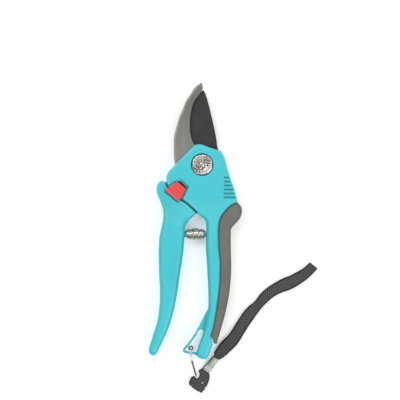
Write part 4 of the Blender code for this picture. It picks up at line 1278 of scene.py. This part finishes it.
def build_webbing_end(webbing, metal):
    """The strap's folded end, with its eyelet."""
    ring = outline(
        [(2.4, -153.2), (-0.3, -151.6), (-2.9, -153.1)],
        [(-2.9, -153.1), (-1.9, -155.6), (-2.8, -158.2), (-4.6, -158.9)],
        [(-4.6, -158.9), (-5.8, -156.9), (-7.5, -157.5), (-9.2, -159.8), (-9.8, -162.5), (-8.4, -164.8)],
        [(-8.4, -164.8), (-3.1, -168.3), (-0.7, -169.6)],
        [(-0.7, -169.6), (1.6, -167.0), (4.3, -162.5), (5.6, -157.0), (4.9, -154.6)],
        [(4.9, -154.6), (2.4, -153.2)],
        spacing=0.5,
    )
    top, bottom = rounded_face(3.9, ring, 0.9, 0.8), rounded_face(STRAP_BOTTOM, ring, 0.7, -0.6)
    end = relief("webbing_end", ring, top, bottom, cell=0.6, rims=SMALL_RIM_OFFSETS)
    eyelet_at = (0.2, -161.9)
    cut(end, circle(0.5, eyelet_at, 0.15), -1.0, 6.0)
    for at, angle in ((-7.9, -164.6), 55), ((-1.8, -169.2), 105), ((2.6, -165.6), 150):
        tip, wide = heading(angle)
        wide = wide * 0.22
        # A crease between two folds, narrower towards its tip
        base, point = np.array(at) - tip * 0.8, at + tip * 0.9
        cut(end, np.array([base - wide * 1.6, base + wide * 1.6, point + wide, point - wide]), -1.0, 6.0)
    neck = np.array([(0.6, -152.1), (-0.2, -151.4), (8.3, -141.8), (8.9, -142.1)])
    combine(end, cutter(neck, 1.0, 2.6))
    layer = end.data.uv_layers.new(name="weave")
    for loop in end.data.loops:
        spot = end.data.vertices[loop.vertex_index].co / MM
        layer.data[loop.index].uv = (spot.x * 0.83 + spot.y * 0.56, spot.y * 0.83 - spot.x * 0.56)
    mark(end, hem=lambda points, normals: (0.75 - np.abs(depth_in(points[:, :2], ring))) / 0.2)
    dress(end, webbing, "gripped_handle", "strap_end")
    profile = [(0.3, 0.8), (0.3, 4.0), (0.6, 4.0), (0.75, 4.1), (0.72, 4.3), (0.55, 4.42), (0.3, 4.4)]
    eyelet = turned("eyelet_strap", profile, 32, eyelet_at)
    return end, dress(eyelet, metal, "gripped_handle", "strap_eyelet")


def build_crimp(paint):
    start, stop = np.array([10.4, -143.9]), np.array([3.3, -152.7])
    length = np.linalg.norm(stop - start)
    along = (stop - start) / length
    across = np.array([-along[1], along[0]])
    corners = [start - across * 2.2, stop - across * 2.9, stop + across * 2.9, start + across * 2.2]
    ring = rounded(corners, 0.5)

    def top(points):
        side = np.abs((points - start) @ across)
        fold = 0.35 * band((points - start) @ along, 0.6 * length, 0.3)
        z = 4.3 - 0.75 * np.clip((side - 0.75) / 1.5, 0, 1) - fold
        return z - round_off(depth_in(points, ring), 0.5, 0.6)

    bottom = rounded_face(0.2, ring, 1.0, -0.9)
    crimp = relief("crimp_strap", ring, top, bottom, cell=0.35, rims=(0.04, 0.14, 0.32, 0.6, 1.0))
    return dress(crimp, paint, "gripped_handle", "strap_crimp")


def build_strap(paint):
    """The wrist loop, pressed flat: two layers of webbing that meet in a fold at the far end."""
    edges = smooth_run(np.hstack([STRAP_LEFT, STRAP_RIGHT]), 0.55)
    line = (edges[:, :2] + edges[:, 2:]) / 2
    steps = np.concatenate([[0], np.cumsum(np.linalg.norm(np.diff(line, axis=0), axis=1))])
    middle = STRAP_BOTTOM + STRAP_THICK / 2
    right = [(0.74, 0.93), (0.8, 1.0), (0.9, 0.97), (0.97, 0.8), (1.0, 0.55), (0.94, 0.12),
             (0.94, -0.12), (1.0, -0.55), (0.97, -0.8), (0.9, -0.97), (0.8, -1.0)]
    left = [(-side, rise) for side, rise in right[::-1]]
    corners = left[6:] + right + left[:6]
    section = []
    for (s0, r0), (s1, r1) in zip(corners, corners[1:] + corners[:1]):
        count = max(1, round(abs(s1 - s0) * 6))
        section += [(s0 + (s1 - s0) * k / count, r0 + (r1 - r0) * k / count) for k in range(count)]
    section = np.array(section)
    rings = []
    for here, edge, step in zip(line, edges, steps):
        lift = 0.05 * math.sin(step * 0.55) + 0.03 * math.sin(step * math.tau / 1.1)
        flat = here + (edge[2:] - edge[:2]) / 2 * section[:, :1]
        rings.append(np.column_stack([flat, middle + (STRAP_THICK / 2 + lift) * section[:, 1]]))
    strap = skin("strap_wrist", rings)
    layer = strap.data.uv_layers.new(name="weave")
    size = len(section)
    for loop in strap.data.loops:
        k = loop.vertex_index
        layer.data[loop.index].uv = (section[k % size][0] * STRAP_WIDTH / 2, steps[k // size])
    hem = np.tile((np.abs(section[:, 0]) - 0.75) / 0.05, len(rings))
    store(strap, "hem", np.maximum(hem, np.repeat((steps - steps[-1] + 0.7) / 0.2, size)))
    return dress(strap, paint, "gripped_handle", "wrist_strap")


# ---- stage ----

VIEW_CENTRE = (-1.6, -26.2)
VIEW_WIDTH = 296.0
CAMERA_HEIGHT = 2600.0
FOCUS_HEIGHT = 13.0  # where the view is VIEW_WIDTH wide
SENSOR = 36.0
FLOOR_HALF = 3.0  # in metres


def build_stage():
    mesh = bpy.data.meshes.new("floor")
    corners = [(x * FLOOR_HALF, y * FLOOR_HALF, 0) for x, y in ((-1, -1), (1, -1), (1, 1), (-1, 1))]
    mesh.from_pydata(corners, [], [(0, 1, 2, 3)])
    floor = add_object("floor", mesh)
    paint = Paint("pale_floor", (0.86, 0.86, 0.86), 0.9)
    paint.shader.inputs["Emission Color"].default_value = (1.0, 1.0, 1.0, 1.0)
    paint.shader.inputs["Emission Strength"].default_value = 0.30
    tint = paint.mix(paint.noise(400.0, 2.0), (0.85, 0.85, 0.85), (0.87, 0.87, 0.87))
    mesh.materials.append(paint.done(tint))

    world = bpy.data.worlds.new("studio")
    bpy.context.scene.world = world
    world.use_nodes = True
    # A sky that is brighter overhead, in large soft patches
    sky = Tree(world.node_tree)
    direction = sky.node("ShaderNodeTexCoord").outputs["Generated"]
    height = sky.node("ShaderNodeSeparateXYZ", {"Vector": direction}).outputs["Z"]
    panels = sky.node("ShaderNodeTexNoise", {"Vector": direction, "Scale": 4.5}).outputs["Fac"]
    glow = sky.times(sky.spread(height, 0.10, 0.85, 0.05, 0.9), sky.spread(panels, 0.45, 1.35, 0.42, 0.58))
    background = sky.nodes["Background"].inputs
    sky.feed(background["Strength"], glow)
    sky.feed(background["Color"], (1.0, 0.99, 0.97, 1.0))

    middle = Vector(place([*VIEW_CENTRE, 0.0]))
    for name, offset, size, power in (
        ("key", (-0.5, 0.45, 0.95), 0.6, 4.2),
        ("top", (0.0, 0.42, 1.0), 0.2, 0.8),
        ("fill", (0.6, -0.45, 0.9), 0.5, 4.0),
    ):
        light = bpy.data.lights.new(name, "AREA")
        light.size = size
        light.energy = power
        lamp = add_object(name, light)
        lamp.location = middle + Vector(offset)
        lamp.rotation_euler = (middle - lamp.location).to_track_quat("-Z", "Y").to_euler()

    camera = bpy.data.cameras.new("camera")
    camera.sensor_width = SENSOR
    camera.lens = SENSOR * (CAMERA_HEIGHT - FOCUS_HEIGHT) / VIEW_WIDTH
    eye = add_object("camera", camera)
    eye.location = middle + Vector((0, 0, CAMERA_HEIGHT * MM))
    bpy.context.scene.camera = eye
    bpy.context.scene.view_settings.view_transform = "Standard"


build_stage()

turquoise = moulded("turquoise_moulding", (0.045, 0.535, 0.615), 0.36)
red = moulded("red_moulding", (0.82, 0.066, 0.074), 0.34)
rubber = rubbery("grip_rubber_skin", (0.140, 0.147, 0.134))
satin = ground("satin_ground_steel", (0.228, 0.232, 0.222), 0.38)
dark = coated("coated_blade_steel", (0.019, 0.019, 0.0185), (0.62, 0.61, 0.59))
chrome = plated("bright_plating", (0.80, 0.79, 0.77), 0.10, dirt_and_shade=0.25)
zinc = ground("zinc_plated_steel", (0.56, 0.55, 0.52), 0.28, (1.0, 1.0, 1.0), 0.5, metallic=0.55)
webbing = woven("strap_webbing", (0.056, 0.056, 0.054))
gunmetal = plated("blackened_steel", (0.035, 0.028, 0.045), 0.28)
black = braided("thin_braid", (0.10, 0.085, 0.08))
pressed = ground("pressed_crimp_metal", (0.47, 0.48, 0.42), 0.5, (1.0, 1.0, 1.0), 0.35, 0.015, 0.7)

build_right_handle(turquoise)
build_left_handle(turquoise)
build_grip(rubber)
build_hook(satin)
build_blade(dark)
build_bolt(chrome)
build_button(red)
build_spring(zinc)
ring, link, cord = build_ring(gunmetal), build_link(chrome), build_cord(black)
end, eyelet = build_webbing_end(webbing, pressed)
crimp = build_crimp(pressed)
build_strap(webbing)

HIDDEN_PIECES = {
    "pivot_sleeve": zinc, "pivot_washer": zinc, "pivot_spring_washer": zinc, "pivot_nut": zinc,
    "lock_bolt": gunmetal, "lock_rivet": zinc, "lock_detent": gunmetal,
}
for node, paint in HIDDEN_PIECES.items():
    carried = frame["nodes"][node]
    carried.data.materials.clear()
    carried.data.materials.append(paint)
